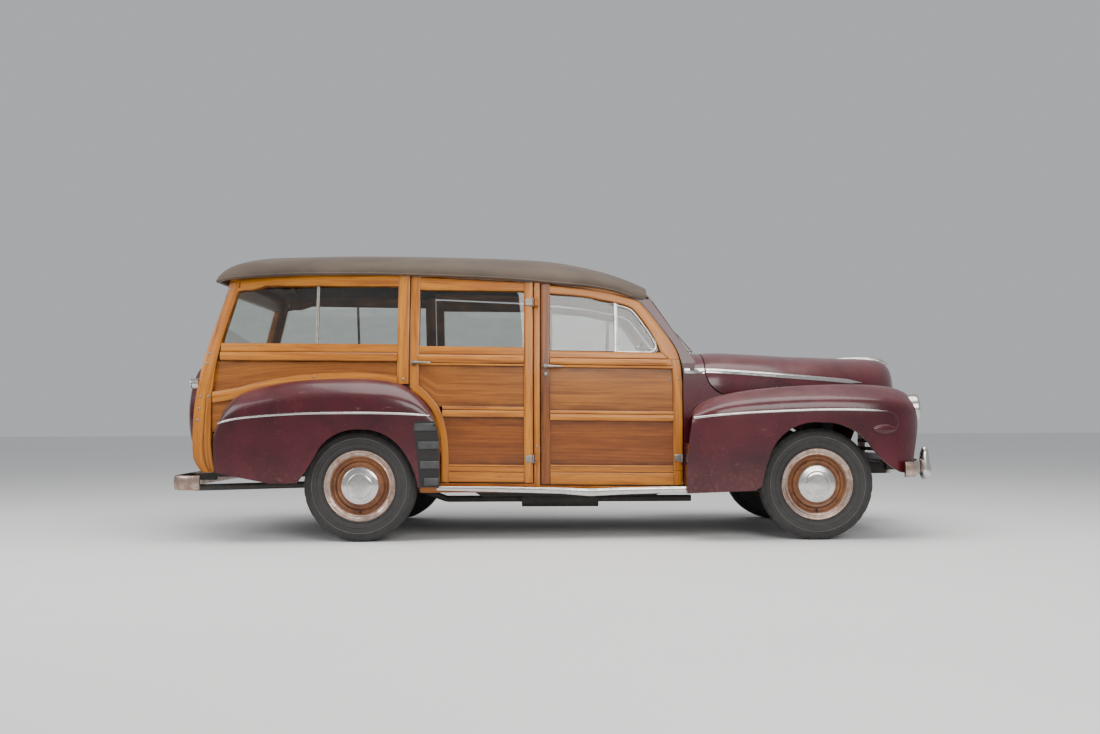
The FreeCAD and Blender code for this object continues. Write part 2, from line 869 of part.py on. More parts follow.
outer_wires = []
for row in ROOF_SHARES:
    x, low, points = roof_place(row)
    outer_wires.append(arched_wire(at_station(x, points)))
inner_wires = []
depth = float(S.roof_thickness)
for index in ROOF_INNER_ROWS:
    x, low, points = roof_place(ROOF_SHARES[index], depth)
    points = points[::2]
    foot = low - depth * 2
    points = [(points[0][0], foot)] + points + [(points[-1][0], foot)]
    x += depth * ((index == 0) - (index == ROOF_INNER_ROWS[-1]))
    inner_wires.append(straight_wire(at_station(x, points)))
roof_inner = Part.makeLoft(inner_wires, True, True)
roof = form("Roof", Part.makeLoft(outer_wires, True, False).cut(roof_inner))
node("roof", roof)


def roof_edge_points(first, last, rise):
    points = []
    for along, width, edge, top in ROOF_SHARES[first:last]:
        points.append((S.roof_rear_x + (S.roof_front_x - S.roof_rear_x) * along,
                       S.roof_edge_z + S.roof_crown_rise * edge + rise))
    return points


# Side frame: roof rail over the doors, centre post and sill rail, all one hoop about the doors
front_door_space = prism(
    "FrontDoorSpace", outline("FrontDoorSpaceOutline", front_door_outline(S.door_gap)), reach_low, reach_high)
rear_door_space = prism(
    "RearDoorSpace", outline("RearDoorSpaceOutline", rear_door_outline(S.door_gap)), reach_low, reach_high)
sill_front_x = S.front_door_front_x + S.door_gap
frame_low = S.front_door_bottom_z - S.door_gap - S.sill_height
wheel_clear_x = rear_axle_x + S.tyre_radius + S.housing_clearance
frame_points = roof_edge_points(8, 13, S.eave_rail_height)
frame_points.insert(0, (quarter_front_x, frame_points[0][1] + S.eave_rail_height * 0.4))
frame_points += [
    (frame_points[-1][0], S.side_belt_z), (sill_front_x - S.overrun, S.side_belt_z),
    (sill_front_x - S.overrun, S.side_bulge_z), (sill_front_x, S.side_bulge_z), (sill_front_x, frame_low),
    (wheel_clear_x, frame_low), (wheel_clear_x, S.tyre_radius + S.housing_clearance * 7),
    (quarter_front_x + S.door_gap, S.side_bulge_z), (quarter_front_x + S.door_gap, S.side_belt_z),
    (quarter_front_x, S.side_belt_z),
]
frame_block = common("SideFrameBlock", wall, prism(
    "SideFramePrism", outline("SideFrameOutline", frame_points), reach_low, reach_high))
side_frame = cut("SideFrameRaw", frame_block, fuse("DoorSpaces", front_door_space, rear_door_space))
side_frame_left = cut("SideFrameLeft", side_frame, roof)
post_leaves = []
for label, hinge_z in (("Low", S.hinge_low_z), ("High", S.hinge_high_z)):
    low_x = rear_pin_x + S.hinge_barrel_radius + S.fit
    leaf_pin_w = rear_pin_w - (hinge_z - S.side_bulge_z) * PIN_LEAN_SHARE
    post_leaves.append(block(
        f"PostLeaf{label}", (low_x, post_front_x - S.hinge_leaf_thickness),
        (side_width(low_x, hinge_z) - S.panel_recess, leaf_pin_w + S.hinge_leaf_thickness * 0.5),
        (hinge_z - S.hinge_leaf_height * 0.5, hinge_z + S.hinge_leaf_height * 0.5)))
side_frame_left = fuse("SideFrameWithLeaves", side_frame_left, *post_leaves)
node("side_frame_left", side_frame_left)
node("side_frame_right", mirror("SideFrameRight", side_frame_left))


# Tail curve, from the top of the rear pillar down to its foot
def tail_curve(shift):
    top = (S.tail_top_x + shift, S.tail_top_z)
    belt = (S.tail_belt_x + shift, S.tail_belt_z)
    low = (S.tail_low_x + shift, S.tail_low_z)
    foot = (S.tail_foot_x + shift, S.tail_foot_z)

    def bend(start, end, x_share, z_share):
        return (start[0] + (end[0] - start[0]) * x_share, start[1] + (end[1] - start[1]) * z_share, "via")

    return [
        top, bend(top, belt, 0.477, 0.45), belt, bend(belt, low, 0.75, 0.442), low,
        bend(low, foot, 0.15, 0.62), foot,
    ]


# Rear quarter: post, window, rails and panel, down to the fender
FENDER_CREST_SHARES = [
    (0.0, 0.02), (0.03, 0.62), (0.19, 0.90, "via"), (0.45, 0.975), (0.70, 0.985, "via"), (1.0, 0.90),
]
fender_meet_x = S.tail_foot_x + S.gate_thickness * 2
crest = spread(FENDER_CREST_SHARES, fender_meet_x, quarter_front_x, S.tail_foot_z, S.rear_fender_top_z)
quarter_points = roof_edge_points(2, 8, S.eave_rail_height)[::-1]
quarter_points.insert(0, (quarter_front_x, quarter_points[0][1]))
quarter_points += tail_curve(0) + crest
quarter_rear = S.quarter_window_rear_x
window_front = quarter_front_x - S.quarter_post_width
quarter_window = [
    (quarter_rear, raked(S.quarter_sill_z, 0)),
    (quarter_rear + S.gate_frame_width * 0.9, S.quarter_window_top_z - S.gate_frame_width),
    (quarter_rear + S.gate_frame_width * 1.35, S.quarter_window_top_z - S.gate_frame_width * 0.25, "via"),
    (quarter_rear + S.gate_frame_width * 2.6, S.quarter_window_top_z),
    (window_front, raked(S.quarter_window_top_z, window_front)),
    (window_front, raked(S.quarter_sill_z, window_front)),
]
arch_front = (window_front, S.rear_fender_top_z + S.fender_thickness * 2)
arch_rear = (quarter_rear - S.glass_inset, S.rear_fender_top_z - S.arch_rail_height)
quarter_panel = [
    (window_front, raked(S.side_belt_z, window_front) - S.gate_frame_width),
    arch_front,
    (arch_front[0] + (arch_rear[0] - arch_front[0]) * 0.4, S.side_belt_z - S.gate_frame_width, "via"),
    arch_rear,
    (quarter_rear - S.glass_inset, raked(S.side_belt_z, quarter_rear) - S.gate_frame_width),
]
quarter_light = prism("QuarterLight", outline("QuarterWindow", quarter_window), reach_low, reach_high)
quarter_block = common("QuarterBlock", wall, prism(
    "QuarterPrism", outline("QuarterOutline", quarter_points), reach_low, reach_high))
quarter_cuts = fuse("QuarterCuts", quarter_light, rear_door_space, roof)
quarter_left = cut("RearQuarterLeft", quarter_block, quarter_cuts)
node("rear_quarter_left", quarter_left)
node("rear_quarter_right", mirror("RearQuarterRight", quarter_left))
quarter_glass = common("QuarterGlass", pane, quarter_light)


# Tailgate and liftgate, in one curved band that follows the tail
def tail_band(name, near, far):
    points = tail_curve(near) + tail_curve(far)[::-1]
    points.insert(len(points) // 2, None)
    points = [point for point in points if point is not None]
    return prism(name, outline(name + "Outline", points), -S.side_bulge_w, S.side_bulge_w)


def tail_width(x, z):
    return side_width(x, z) - S.wall_thickness - S.lid_gap


def gate_outline(low_z, high_z, inset):
    low_w = tail_width(S.tail_low_x, low_z) - inset
    high_w = tail_width(S.tail_low_x + (high_z - low_z) * 0.3 - S.gate_thickness, high_z) - inset
    return [(-low_w, low_z + inset), (-high_w, high_z - inset), (high_w, high_z - inset), (low_w, low_z + inset)]


def gate_prism(name, points):
    return prism(name, outline(name + "Outline", points, plane=FRONT_PLANE), S.tail_low_x * 1.1, S.tail_low_x * 0.7, "x")


tail = tail_band("TailBand", 0, S.gate_thickness)
tail_skin = tail_band("TailSkin", -S.overrun, S.panel_recess)
tail_pane = tail_band("TailPane", S.glass_inset, S.glass_inset + S.glass_thickness)
lift_low_z = S.gate_split_z + S.lid_gap * 0.5
lift_high_z = S.tail_top_z - S.lid_gap
gate_high_z = S.gate_split_z - S.lid_gap * 0.5
lift_outline = gate_outline(lift_low_z, lift_high_z, S.overrun * 0)
lift_outline[1] = (-(tail_width(S.tail_top_x, lift_high_z)), lift_high_z)
lift_outline[2] = (tail_width(S.tail_top_x, lift_high_z), lift_high_z)
lift_window = [
    (lift_outline[0][0] + S.gate_frame_width, lift_low_z + S.gate_frame_width),
    (lift_outline[1][0] + S.gate_frame_width, lift_high_z - S.gate_frame_width),
    (lift_outline[2][0] - S.gate_frame_width, lift_high_z - S.gate_frame_width),
    (lift_outline[3][0] - S.gate_frame_width, lift_low_z + S.gate_frame_width),
]
lift_light = gate_prism("LiftgateLight", lift_window)
lift_frame = cut("LiftgateFrame", common("LiftgateSlab", tail, gate_prism("LiftgateEdge", lift_outline)), lift_light)
low_w = tail_width(S.tail_low_x, S.tailgate_bottom_z)
high_w = tail_width(S.tail_belt_x, gate_high_z)
gate_points = [(-low_w, S.tailgate_bottom_z), (-high_w, gate_high_z), (high_w, gate_high_z), (low_w, S.tailgate_bottom_z)]
panel_w = S.gate_frame_width
gate_panel = [
    (-low_w + panel_w, S.tailgate_bottom_z + panel_w), (-high_w + panel_w, gate_high_z - panel_w),
    (high_w - panel_w, gate_high_z - panel_w), (low_w - panel_w, S.tailgate_bottom_z + panel_w),
]
gate_recess = common("TailgateRecess", tail_skin, gate_prism("TailgatePanel", gate_panel))
bevel_x = S.tail_belt_x + S.gate_bevel * 0.4
bevel = prism("TailgateBevel", outline("TailgateBevelOutline", [
    (bevel_x, gate_high_z), (bevel_x + S.gate_bevel * 3, gate_high_z - S.gate_bevel),
    (bevel_x + S.gate_bevel * 3, gate_high_z + S.gate_bevel), (bevel_x, gate_high_z + S.gate_bevel),
]), -S.side_bulge_w, S.side_bulge_w)
gate_slab = common("TailgateSlab", tail, gate_prism("TailgateEdge", gate_points))
gate_wood = cut("TailgateWood", gate_slab, fuse("TailgateCuts", gate_recess, bevel))
gate_metal = []
valance_metal = []
for side in (1, -1):
    ear_w = (S.carrier_barrel_length * 0.5 + S.ear_gap + S.ear_width * 0.5) * side - S.ear_width * 0.5
    reach = (S.carrier_pivot_x - S.carrier_barrel_radius, S.tail_belt_x + S.gate_thickness * 0.5)
    height = (S.carrier_pivot_z - S.carrier_barrel_radius, S.carrier_pivot_z + S.carrier_barrel_radius)
    gate_metal.append(block(f"CarrierEar{side}", reach, (ear_w, ear_w + S.ear_width), height))
    leaf_w = S.gate_hinge_w * side - S.gate_hinge_length * 0.5
    gate_metal.append(rod(f"GateBarrel{side}", S.gate_hinge_radius, S.gate_hinge_length, "y",
                          S.gate_hinge_x, leaf_w, S.gate_hinge_z))
    gate_metal.append(block(
        f"GateLeaf{side}", (S.gate_hinge_x - S.gate_hinge_radius, S.tail_low_x + S.gate_thickness * 0.5),
        (leaf_w, leaf_w + S.gate_hinge_length),
        (S.tailgate_bottom_z + S.gate_hinge_radius * 0.5, S.tailgate_bottom_z + S.gate_frame_width)))
    fixed_length = S.gate_hinge_length * 0.5
    fixed_w = leaf_w + S.gate_hinge_length + S.fit if side > 0 else leaf_w - S.fit - fixed_length
    valance_metal.append(rod(f"ValanceBarrel{side}", S.gate_hinge_radius, fixed_length, "y",
                             S.gate_hinge_x, fixed_w, S.gate_hinge_z))
    valance_metal.append(block(
        f"ValanceLeaf{side}", (S.gate_hinge_x - S.gate_hinge_radius, S.tail_low_x + S.gate_thickness * 0.5),
        (fixed_w, fixed_w + fixed_length),
        (S.tailgate_bottom_z - S.gate_frame_width, S.tailgate_bottom_z - S.lid_gap)))
tailgate = fuse("Tailgate", gate_wood, *gate_metal)
lift_leaves = []
header_leaves = []
for side in (1, -1):
    low_w = S.lift_hinge_w * side - S.lift_hinge_length * 0.5
    fixed_w = low_w + S.lift_hinge_length + S.fit if side > 0 else low_w - S.fit - S.lift_hinge_length * 0.5
    for kind, leaves, start, length, low, high in (
            ("Lift", lift_leaves, low_w, S.lift_hinge_length, S.lift_hinge_z - S.gate_thickness * 0.4, S.lift_hinge_z),
            ("Header", header_leaves, fixed_w, S.lift_hinge_length * 0.5, S.lift_hinge_z,
             S.lift_hinge_z + S.gate_hinge_radius + S.gate_hinge_radius * 0.5)):
        leaves.append(rod(f"{kind}Barrel{side}", S.gate_hinge_radius, length, "y", S.lift_hinge_x, start, S.lift_hinge_z))
        leaves.append(block(f"{kind}Leaf{side}", (S.lift_hinge_x, S.tail_top_x + S.gate_hinge_radius),
                            (start, start + length), (low, high)))
node("liftgate", fuse("Liftgate", lift_frame, *lift_leaves))
node("liftgate_glass", common("LiftgateGlass", tail_pane, lift_light))
node("tailgate", tailgate)
wall_right = mirror("SideWallRight", wall)
walls = fuse("SideWalls", wall, wall_right)
valance_low_z = S.rail_front_z + S.rail_height + S.lid_gap
valance_top_z = S.tailgate_bottom_z - S.lid_gap
valance_w = tail_width(S.tail_low_x, valance_top_z) + S.wall_thickness * 0.5
valance_slab = common("ValanceSlab", tail, gate_prism("ValanceEdge", [
    (-valance_w, valance_low_z), (-valance_w, valance_top_z),
    (valance_w, valance_top_z), (valance_w, valance_low_z)]))
node("tail_valance", fuse("TailValance", cut("ValanceWood", valance_slab, walls), *valance_metal))

header_half = side_width(S.tail_top_x, S.tail_top_z) - S.wall_thickness * 0.6
header = block(
    "RearHeaderBlock", (S.tail_top_x, S.tail_top_x + S.rear_header_depth), (-header_half, header_half),
    (S.tail_top_z, S.tail_top_z + S.eave_rail_height))
header_bar = cut("RearHeaderBar", header, fuse("RearHeaderCuts", walls, roof))
node("rear_header", fuse("RearHeader", header_bar, *header_leaves))


# Cowl and windshield
def cowl_wire(x, inset, foot_z):
    half = float(bowed(S.side_belt_w, x)) if x < float(S.cowl_front_x) else float(S.cowl_half_width)
    points = crown(half, float(S.cowl_shoulder_z), float(S.cowl_crown_z), 3.2, 16, inset)
    if inset:
        points = [(points[0][0], foot_z)] + points[::2] + [(points[-1][0], foot_z)]
        return straight_wire(at_station(x, points))
    return arched_wire(at_station(x, points))


cowl_rear = float(sill_front_x)
cowl_front = float(S.cowl_front_x)
steel = float(S.cowl_thickness)
over = float(S.overrun)
hoop = Part.makeLoft([cowl_wire(cowl_rear, 0.0, 0.0), cowl_wire(cowl_front, 0.0, 0.0)], True, True)
hollow = Part.makeLoft([
    cowl_wire(cowl_rear - over, steel, float(S.cowl_shoulder_z) - over),
    cowl_wire(cowl_front + over, steel, float(S.cowl_shoulder_z) - over)], True, True)
cowl_space = form("CowlSpace", hollow)
trim = block("CowlStripPlane", (S.cowl_front_x * 0.5, S.cowl_front_x * 1.5), (-S.side_sill_w, S.side_sill_w),
             (S.cowl_strip_z - S.side_sill_w, S.cowl_strip_z))
cowl_hoop = cut("CowlHoop", form("CowlHoopShell", hoop.cut(hollow)), trim)
COWL_CORNER_SHARES = [(0, 1), (0.27, 0.445, "via"), (1, 0.0)]
corner = spread(COWL_CORNER_SHARES, S.cowl_front_x, S.cowl_front_x + S.hood_low_z * 0.14,
                S.hood_low_z - S.lid_gap, S.cowl_strip_z)
cowl_side_points = corner + [
    (S.front_fender_rear_x + S.pillar_width, S.side_bulge_z),
    (S.front_fender_rear_x + S.front_stile_width * 0.5, frame_low),
    (sill_front_x, frame_low), (sill_front_x, S.cowl_strip_z),
]
cowl_side = common("CowlSide", wall, prism(
    "CowlSidePrism", outline("CowlSideOutline", cowl_side_points), reach_low, reach_high))
firewall = block("Firewall", (S.cowl_front_x - S.firewall_thickness, S.cowl_front_x),
                 (-S.cowl_half_width, S.cowl_half_width), (S.toe_top_z, S.cowl_strip_z))
screen_slope = S.screen_rise_run / S.screen_rise_height
rise = S.screen_head_z - S.screen_foot_z


def screen_line(w_share, z):
    """X of the windshield plane at a share of its half-width and a height."""
    return S.screen_foot_x - S.screen_sweep * w_share - (z - S.screen_foot_z) * screen_slope


def screen_face(name, outer, inner, depth_front, depth_back):
    """One sloping windshield half between two outlines, given as pairs of width share and height."""
    wires = []
    for points in (outer, inner):
        if points:
            wires.append([
                Vector(float(screen_line(share, z)), float(S.screen_half_width * share), float(z))
                for share, z in points])
    across = (wires[0][1] - wires[0][0]).cross(wires[0][2] - wires[0][0]).normalize()
    if across.x < 0:
        across = across * -1
    faces = []
    for points in wires:
        face = Part.Face(Part.makePolygon(points + points[:1]))
        face.translate(across * depth_front)
        faces.append(face.extrude(across * (depth_back - depth_front)))
    return faces


foot_z = S.cowl_crown_z - S.screen_frame_width * 0.5
side_foot_z = S.cowl_strip_z + S.screen_frame_width * 1.6
side_head_z = S.roof_edge_z - S.gate_frame_width
edge = float(S.screen_frame_width) / float(S.screen_half_width)
lip = S.screen_frame_width
outer_screen = [(0, foot_z), (0, S.screen_head_z), (0.9, side_head_z), (1, side_head_z - lip * 2), (1, side_foot_z)]
inner_screen = [
    (edge * 0.4, foot_z + lip), (edge * 0.4, S.screen_head_z - lip), (0.87, side_head_z - lip),
    (1 - edge, side_head_z - lip * 2), (1 - edge, side_foot_z + lip)]
frame_depth = float(S.screen_frame_depth)
ring, light = screen_face("Screen", outer_screen, inner_screen, -frame_depth, 0.0)
screen_frame = form("ScreenFrame", ring.cut(light))
glass_back = -frame_depth * 0.6
glass_front = glass_back + float(S.glass_thickness)
screen_glass = form("ScreenGlass", screen_face("ScreenPane", inner_screen, None, glass_back, glass_front)[0])
pillar_points = [
    (S.roof_front_x - S.pillar_width, S.roof_edge_z - S.gate_frame_width * 1.4),
    (S.roof_front_x + S.pillar_width * 0.3, S.roof_edge_z - S.gate_frame_width * 1.4),
    (S.cowl_front_x - S.pillar_width, S.cowl_strip_z + S.pillar_width * 1.2),
    (S.cowl_front_x - S.pillar_width, S.cowl_strip_z), (sill_front_x - S.pillar_width, S.cowl_strip_z),
]
pillar_block = common("PillarBlock", wall, prism(
    "PillarPrism", outline("PillarOutline", pillar_points), reach_low, reach_high))
pillar = cut("Pillar", pillar_block, fuse("PillarCuts", front_door_space, side_frame_left, roof))
cowl_left = fuse("CowlLeftParts", cowl_side, pillar, screen_frame)
cowl_all = fuse("CowlParts", cowl_left, mirror("CowlRightParts", cowl_left), cowl_hoop, firewall)
cowl_steel = cut("CowlSteel", cowl_all, fuse("CowlCuts", roof, screen_glass, mirror("ScreenGlassCut", screen_glass)))
knuckle_top = S.hinge_low_z - S.hinge_leaf_height * 0.5 - S.fit
knuckle_z = (knuckle_top - S.fixed_knuckle_length, knuckle_top)
knuckle_out = front_pin_w + S.fixed_knuckle_depth
knuckle_foot = sill_front_x - S.fixed_knuckle_depth
door_knuckle = fuse(
    "DoorKnuckle",
    rod("DoorKnuckleBarrel", S.hinge_barrel_radius, S.fixed_knuckle_length, "z", front_pin_x, front_pin_w, knuckle_z[0]),
    block("DoorKnuckleLeaf", (front_pin_x, sill_front_x), (front_pin_w - S.fixed_knuckle_depth, knuckle_out), knuckle_z),
    block("DoorKnuckleArm", (knuckle_foot, sill_front_x), (front_pin_w - S.wall_thickness, knuckle_out), knuckle_z),
    block("DoorKnuckleFoot", (knuckle_foot, sill_front_x + S.fixed_knuckle_depth),
          (front_pin_w - S.wall_thickness, front_pin_w - S.wall_thickness * 0.5), knuckle_z))
pin_low_z = S.hood_pin_z - S.hood_pin_radius
pin_high_z = S.hood_pin_z + S.hood_pin_radius * 0.5
hood_knuckle = fuse(
    "HoodKnuckle",
    rod("HoodKnuckleBarrel", S.hood_pin_radius, S.hood_pin_half_length * 2, "y",
        S.hood_pin_x, -S.hood_pin_half_length, S.hood_pin_z),
    block("HoodKnuckleLeaf", (S.cowl_front_x - S.hood_leaf_reach, S.hood_pin_x),
          (-S.hood_pin_half_length, S.hood_pin_half_length), (pin_low_z, pin_high_z)))
node("cowl", fuse("Cowl", cowl_steel, door_knuckle, mirror("DoorKnuckleRight", door_knuckle), hood_knuckle))
node("fixed_glass", bundle(
    "FixedGlass", quarter_glass, mirror("QuarterGlassRight", quarter_glass),
    screen_glass, mirror("ScreenGlassRight", screen_glass)))

# Hood: shares along its length, of its half-width, its lower edge and its crown, and the roundness
HOOD_SHARES = [
    (0.0, 1.0, 1.0, 1.0, 3.2), (0.1, 0.97, 0.9985, 1.0045, 3.2), (0.2, 0.92, 0.9975, 1.0005, 3.1),
    (0.35, 0.855, 0.9935, 0.9918, 3.0), (0.475, 0.796, 0.987, 0.985, 2.9), (0.6, 0.73, 0.978, 0.981, 2.8),
    (0.70, 0.67, 0.97, 0.977, 2.7), (0.80, 0.595, 0.968, 0.9753, 2.6), (0.888, 0.49, 0.966, 0.970, 2.5),
    (0.955, 0.345, 0.964, 0.95, 2.3), (0.985, 0.21, 0.965, 0.905, 2.2), (1.0, 0.10, 0.98, 0.85, 2.1),
]
hood_rear_x = S.cowl_front_x + S.lid_gap


def hood_place(row, inset=0.0):
    along, width, low, high, roundness = row
    x = float(hood_rear_x + (S.hood_nose_x - hood_rear_x) * along)
    low_z = float(S.hood_low_z * low)
    points = crown(float(S.cowl_half_width) * width, low_z, float(S.cowl_crown_z) * high, roundness, 16, inset)
    return x, low_z, points


outer_wires = []
for row in HOOD_SHARES:
    x, low_z, points = hood_place(row)
    outer_wires.append(arched_wire(at_station(x, points)))
inner_wires = []
depth = float(S.hood_thickness)
for index in (0, 2, 4, 6, 8, 9, 10):
    x, low_z, points = hood_place(HOOD_SHARES[index], depth)
    points = points[::2]
    foot = low_z - depth * 3
    points = [(points[0][0], foot)] + points + [(points[-1][0], foot)]
    inner_wires.append(straight_wire(at_station(x - depth * (index == 0), points)))
hood_shell = Part.makeLoft(outer_wires, True, False).cut(Part.makeLoft(inner_wires, True, True))
hood_corner = spread(
    COWL_CORNER_SHARES, hood_rear_x, hood_rear_x + S.hood_low_z * 0.14,
    S.hood_low_z, S.cowl_strip_z + S.lid_gap)
hood_corner += [(hood_corner[-1][0], S.hood_low_z - S.overrun), (S.cowl_front_x - S.overrun, S.hood_low_z - S.overrun),
                (S.cowl_front_x - S.overrun, S.cowl_strip_z + S.lid_gap)]
hood_cut = prism("HoodCorner", outline("HoodCornerOutline", hood_corner), -reach_high, reach_high)
hood_steel = cut("HoodSteel", form("HoodShell", hood_shell), hood_cut)
hood_lugs = []
for lug_side, lug_w in ((1, S.hood_pin_half_length + S.fit), (-1, -S.hood_pin_half_length * 2 - S.fit)):
    hood_lugs.append(rod(f"HoodLugBarrel{lug_side}", S.hood_pin_radius, S.hood_pin_half_length, "y",
                         S.hood_pin_x, lug_w, S.hood_pin_z))
    hood_lugs.append(block(f"HoodLugLeaf{lug_side}", (S.hood_pin_x, hood_rear_x + S.hood_leaf_reach),
                           (lug_w, lug_w + S.hood_pin_half_length), (pin_low_z, pin_high_z)))
node("hood", fuse("Hood", hood_steel, *hood_lugs))


# Front fenders: rows hold X, then the inner edge, the crown and the widest place as pairs of W and Z
def fender_wire(x, inner, crest, outer, bottom):
    mid = (crest[0] + (outer[0] - crest[0]) * 0.72, crest[1] - (crest[1] - outer[1]) * 0.32)
    curve = Part.BSplineCurve()
    points = at_station(x, [inner, crest, mid, outer])
    curve.interpolate(points, InitialTangent=(points[1] - points[0]) * 1.5, FinalTangent=Vector(0, 0, -1) * 100)
    low_in = Vector(x, inner[0], bottom)
    low_out = Vector(x, outer[0] - 6, bottom)
    return Part.Wire([
        Part.makeLine(low_in, points[0]), curve.toShape(), Part.makeLine(points[-1], low_out),
        Part.makeLine(low_out, low_in)])


def fender_hollow(x, inner, crest, outer, bottom, wall_depth):
    mid = (crest[0] + (outer[0] - crest[0]) * 0.72, crest[1] - (crest[1] - outer[1]) * 0.32)
    flange = wall_depth * 4
    return straight_wire(at_station(x, [
        (inner[0] - flange, bottom - flange), (inner[0] - flange, inner[1] - flange),
        (inner[0] + wall_depth, inner[1] - flange), (inner[0] + wall_depth, inner[1] - wall_depth * 1.3),
        (crest[0], crest[1] - wall_depth * 1.3), (mid[0] - wall_depth, mid[1] - wall_depth),
        (outer[0] - wall_depth, outer[1]), (outer[0] - wall_depth - 6, bottom - flange)]))


FRONT_FENDER_SHARES = [
    # along; inner w of the body or cowl half-width; inner z, crown w, crown z, outer w and outer z of the fender's
    (0.0, 0.99107, 0.76, 0.855, 0.815, 0.968, 0.74), (0.113, 0.98419, 0.895, 0.845, 0.913, 0.985, 0.77),
    (0.182, 0.94978, 0.92, 0.84, 0.943, 0.993, 0.78), (0.33, 0.88095, 0.93, 0.83, 0.975, 1.0, 0.79),
    (0.556, 0.79836, 0.915, 0.81, 0.998, 1.0, 0.79), (0.763, 0.67448, 0.90, 0.785, 1.0, 0.992, 0.78),
    (0.876, 0.58501, 0.89, 0.765, 0.985, 0.962, 0.77), (0.943, 0.5506, 0.885, 0.745, 0.955, 0.90, 0.76),
    (0.98, 0.5506, 0.875, 0.725, 0.92, 0.84, 0.76), (1.0, 0.56436, 0.86, 0.71, 0.875, 0.79, 0.77),
]
REAR_FENDER_SHARES = [
    (0.0, 0.93904, 0.715, 0.875, 0.70, 0.925, 0.62), (0.04, 0.93904, 0.83, 0.89, 0.815, 0.955, 0.70),
    (0.095, 0.93904, 0.915, 0.895, 0.895, 0.97, 0.75), (0.18, 0.93904, 0.965, 0.90, 0.935, 0.982, 0.77),
    (0.295, 0.93904, 0.995, 0.905, 0.975, 0.993, 0.785), (0.54, 0.93904, 1.02, 0.912, 1.0, 1.0, 0.80),
    (0.737, 0.93904, 1.01, 0.91, 0.99, 0.998, 0.795), (0.815, 0.93904, 0.99, 0.905, 0.968, 0.99, 0.79),
    (0.881, 0.93904, 0.945, 0.90, 0.925, 0.978, 0.78), (0.93, 0.93904, 0.885, 0.895, 0.87, 0.968, 0.76),
    (1.0, 0.93904, 0.78, 0.885, 0.765, 0.95, 0.70),
]


def fender_rows(shares, rear_x, front_x, inner_width, half_width, top_z, grow=0.0):
    rows = []
    for along, in_w, in_z, top_w, crown_z, out_w, out_z in shares:
        x = float(rear_x) + (float(front_x) - float(rear_x)) * along
        rows.append((x, (inner_width * in_w, top_z * in_z + grow), (half_width * top_w, top_z * crown_z + grow),
                     (half_width * out_w + grow, top_z * out_z)))
    return rows


def fender_shell(rows, bottom, wall_depth, picks):
    """The outer form of a fender and the same form hollowed out."""
    outer = Part.makeLoft([fender_wire(*row, bottom) for row in rows], True, False)
    hollow_rows = [rows[index] for index in picks]
    first, last = hollow_rows[0], hollow_rows[-1]
    hollow_rows[0] = (first[0] + wall_depth, *first[1:])
    hollow_rows[-1] = (last[0] - wall_depth, *last[1:])
    hollow = Part.makeLoft([fender_hollow(*row, bottom, wall_depth) for row in hollow_rows], True, True)
    return outer, outer.cut(hollow)


sheet_steel = float(S.fender_thickness)
front_rows = fender_rows(FRONT_FENDER_SHARES, S.front_fender_rear_x, S.nose_x, float(S.cowl_half_width),
                         float(S.front_fender_half_width), float(S.front_fender_top_z))
front_bottom = float(S.front_fender_bottom_z)
front_outer, front_shell = fender_shell(front_rows, front_bottom, sheet_steel, (0, 2, 3, 4, 5, 6, 7, 8, 9))
FRONT_ARCH_SHARES = [
    (1.0, 0.296), (0.875, 0.466, "via"), (0.770, 0.713), (0.652, 0.910, "via"), (0.4516, 1.0),
    (0.232, 0.898, "via"), (0.1055, 0.581), (0.0615, 0.287, "via"), (0.043, 0.102), (0.0, 0.043),
]
arch = spread(FRONT_ARCH_SHARES, S.front_arch_rear_x, S.front_arch_front_x,
              S.front_fender_bottom_z, S.front_arch_top_z)
above = S.front_fender_top_z + S.overrun * 2
front_side = [
    (S.front_fender_rear_x, S.front_fender_bottom_z),
    (S.front_fender_rear_x + S.fender_thickness * 0.5, S.side_bulge_z * 0.75, "via"),
    (S.front_fender_rear_x + S.fender_thickness * 3, S.side_bulge_z + S.fender_thickness * 3),
    (S.front_fender_rear_x + S.fender_thickness * 8, S.front_fender_top_z * 0.885, "via"),
    (S.front_fender_rear_x + S.fender_thickness * 20, S.front_fender_top_z * 0.945),
    (S.front_fender_rear_x + S.fender_thickness * 20, above), (S.nose_x + S.overrun, above),
    (S.nose_x + S.overrun, S.lamp_z), (S.nose_x - S.overrun, S.front_fender_top_z * 0.6, "via"),
    (S.nose_x - S.front_fender_top_z * 0.07, S.front_fender_top_z * 0.423),
] + arch
front_prism = prism("FrontFenderSide", outline("FrontFenderOutline", front_side), reach_low * 0.2, reach_high)
lamp_hole = rod("LampHole", S.lamp_radius, S.lamp_depth * 2, "x", S.nose_x - S.lamp_depth * 1.5, S.lamp_w, S.lamp_z)
front_fender = cut(
    "FrontFenderLeft", common("FrontFenderTrim", form("FrontFenderShell", front_shell), front_prism),
    fuse("FrontFenderCuts", wall, lamp_hole))
node("front_fenders", bundle("FrontFenders", front_fender, mirror("FrontFenderRight", front_fender)))

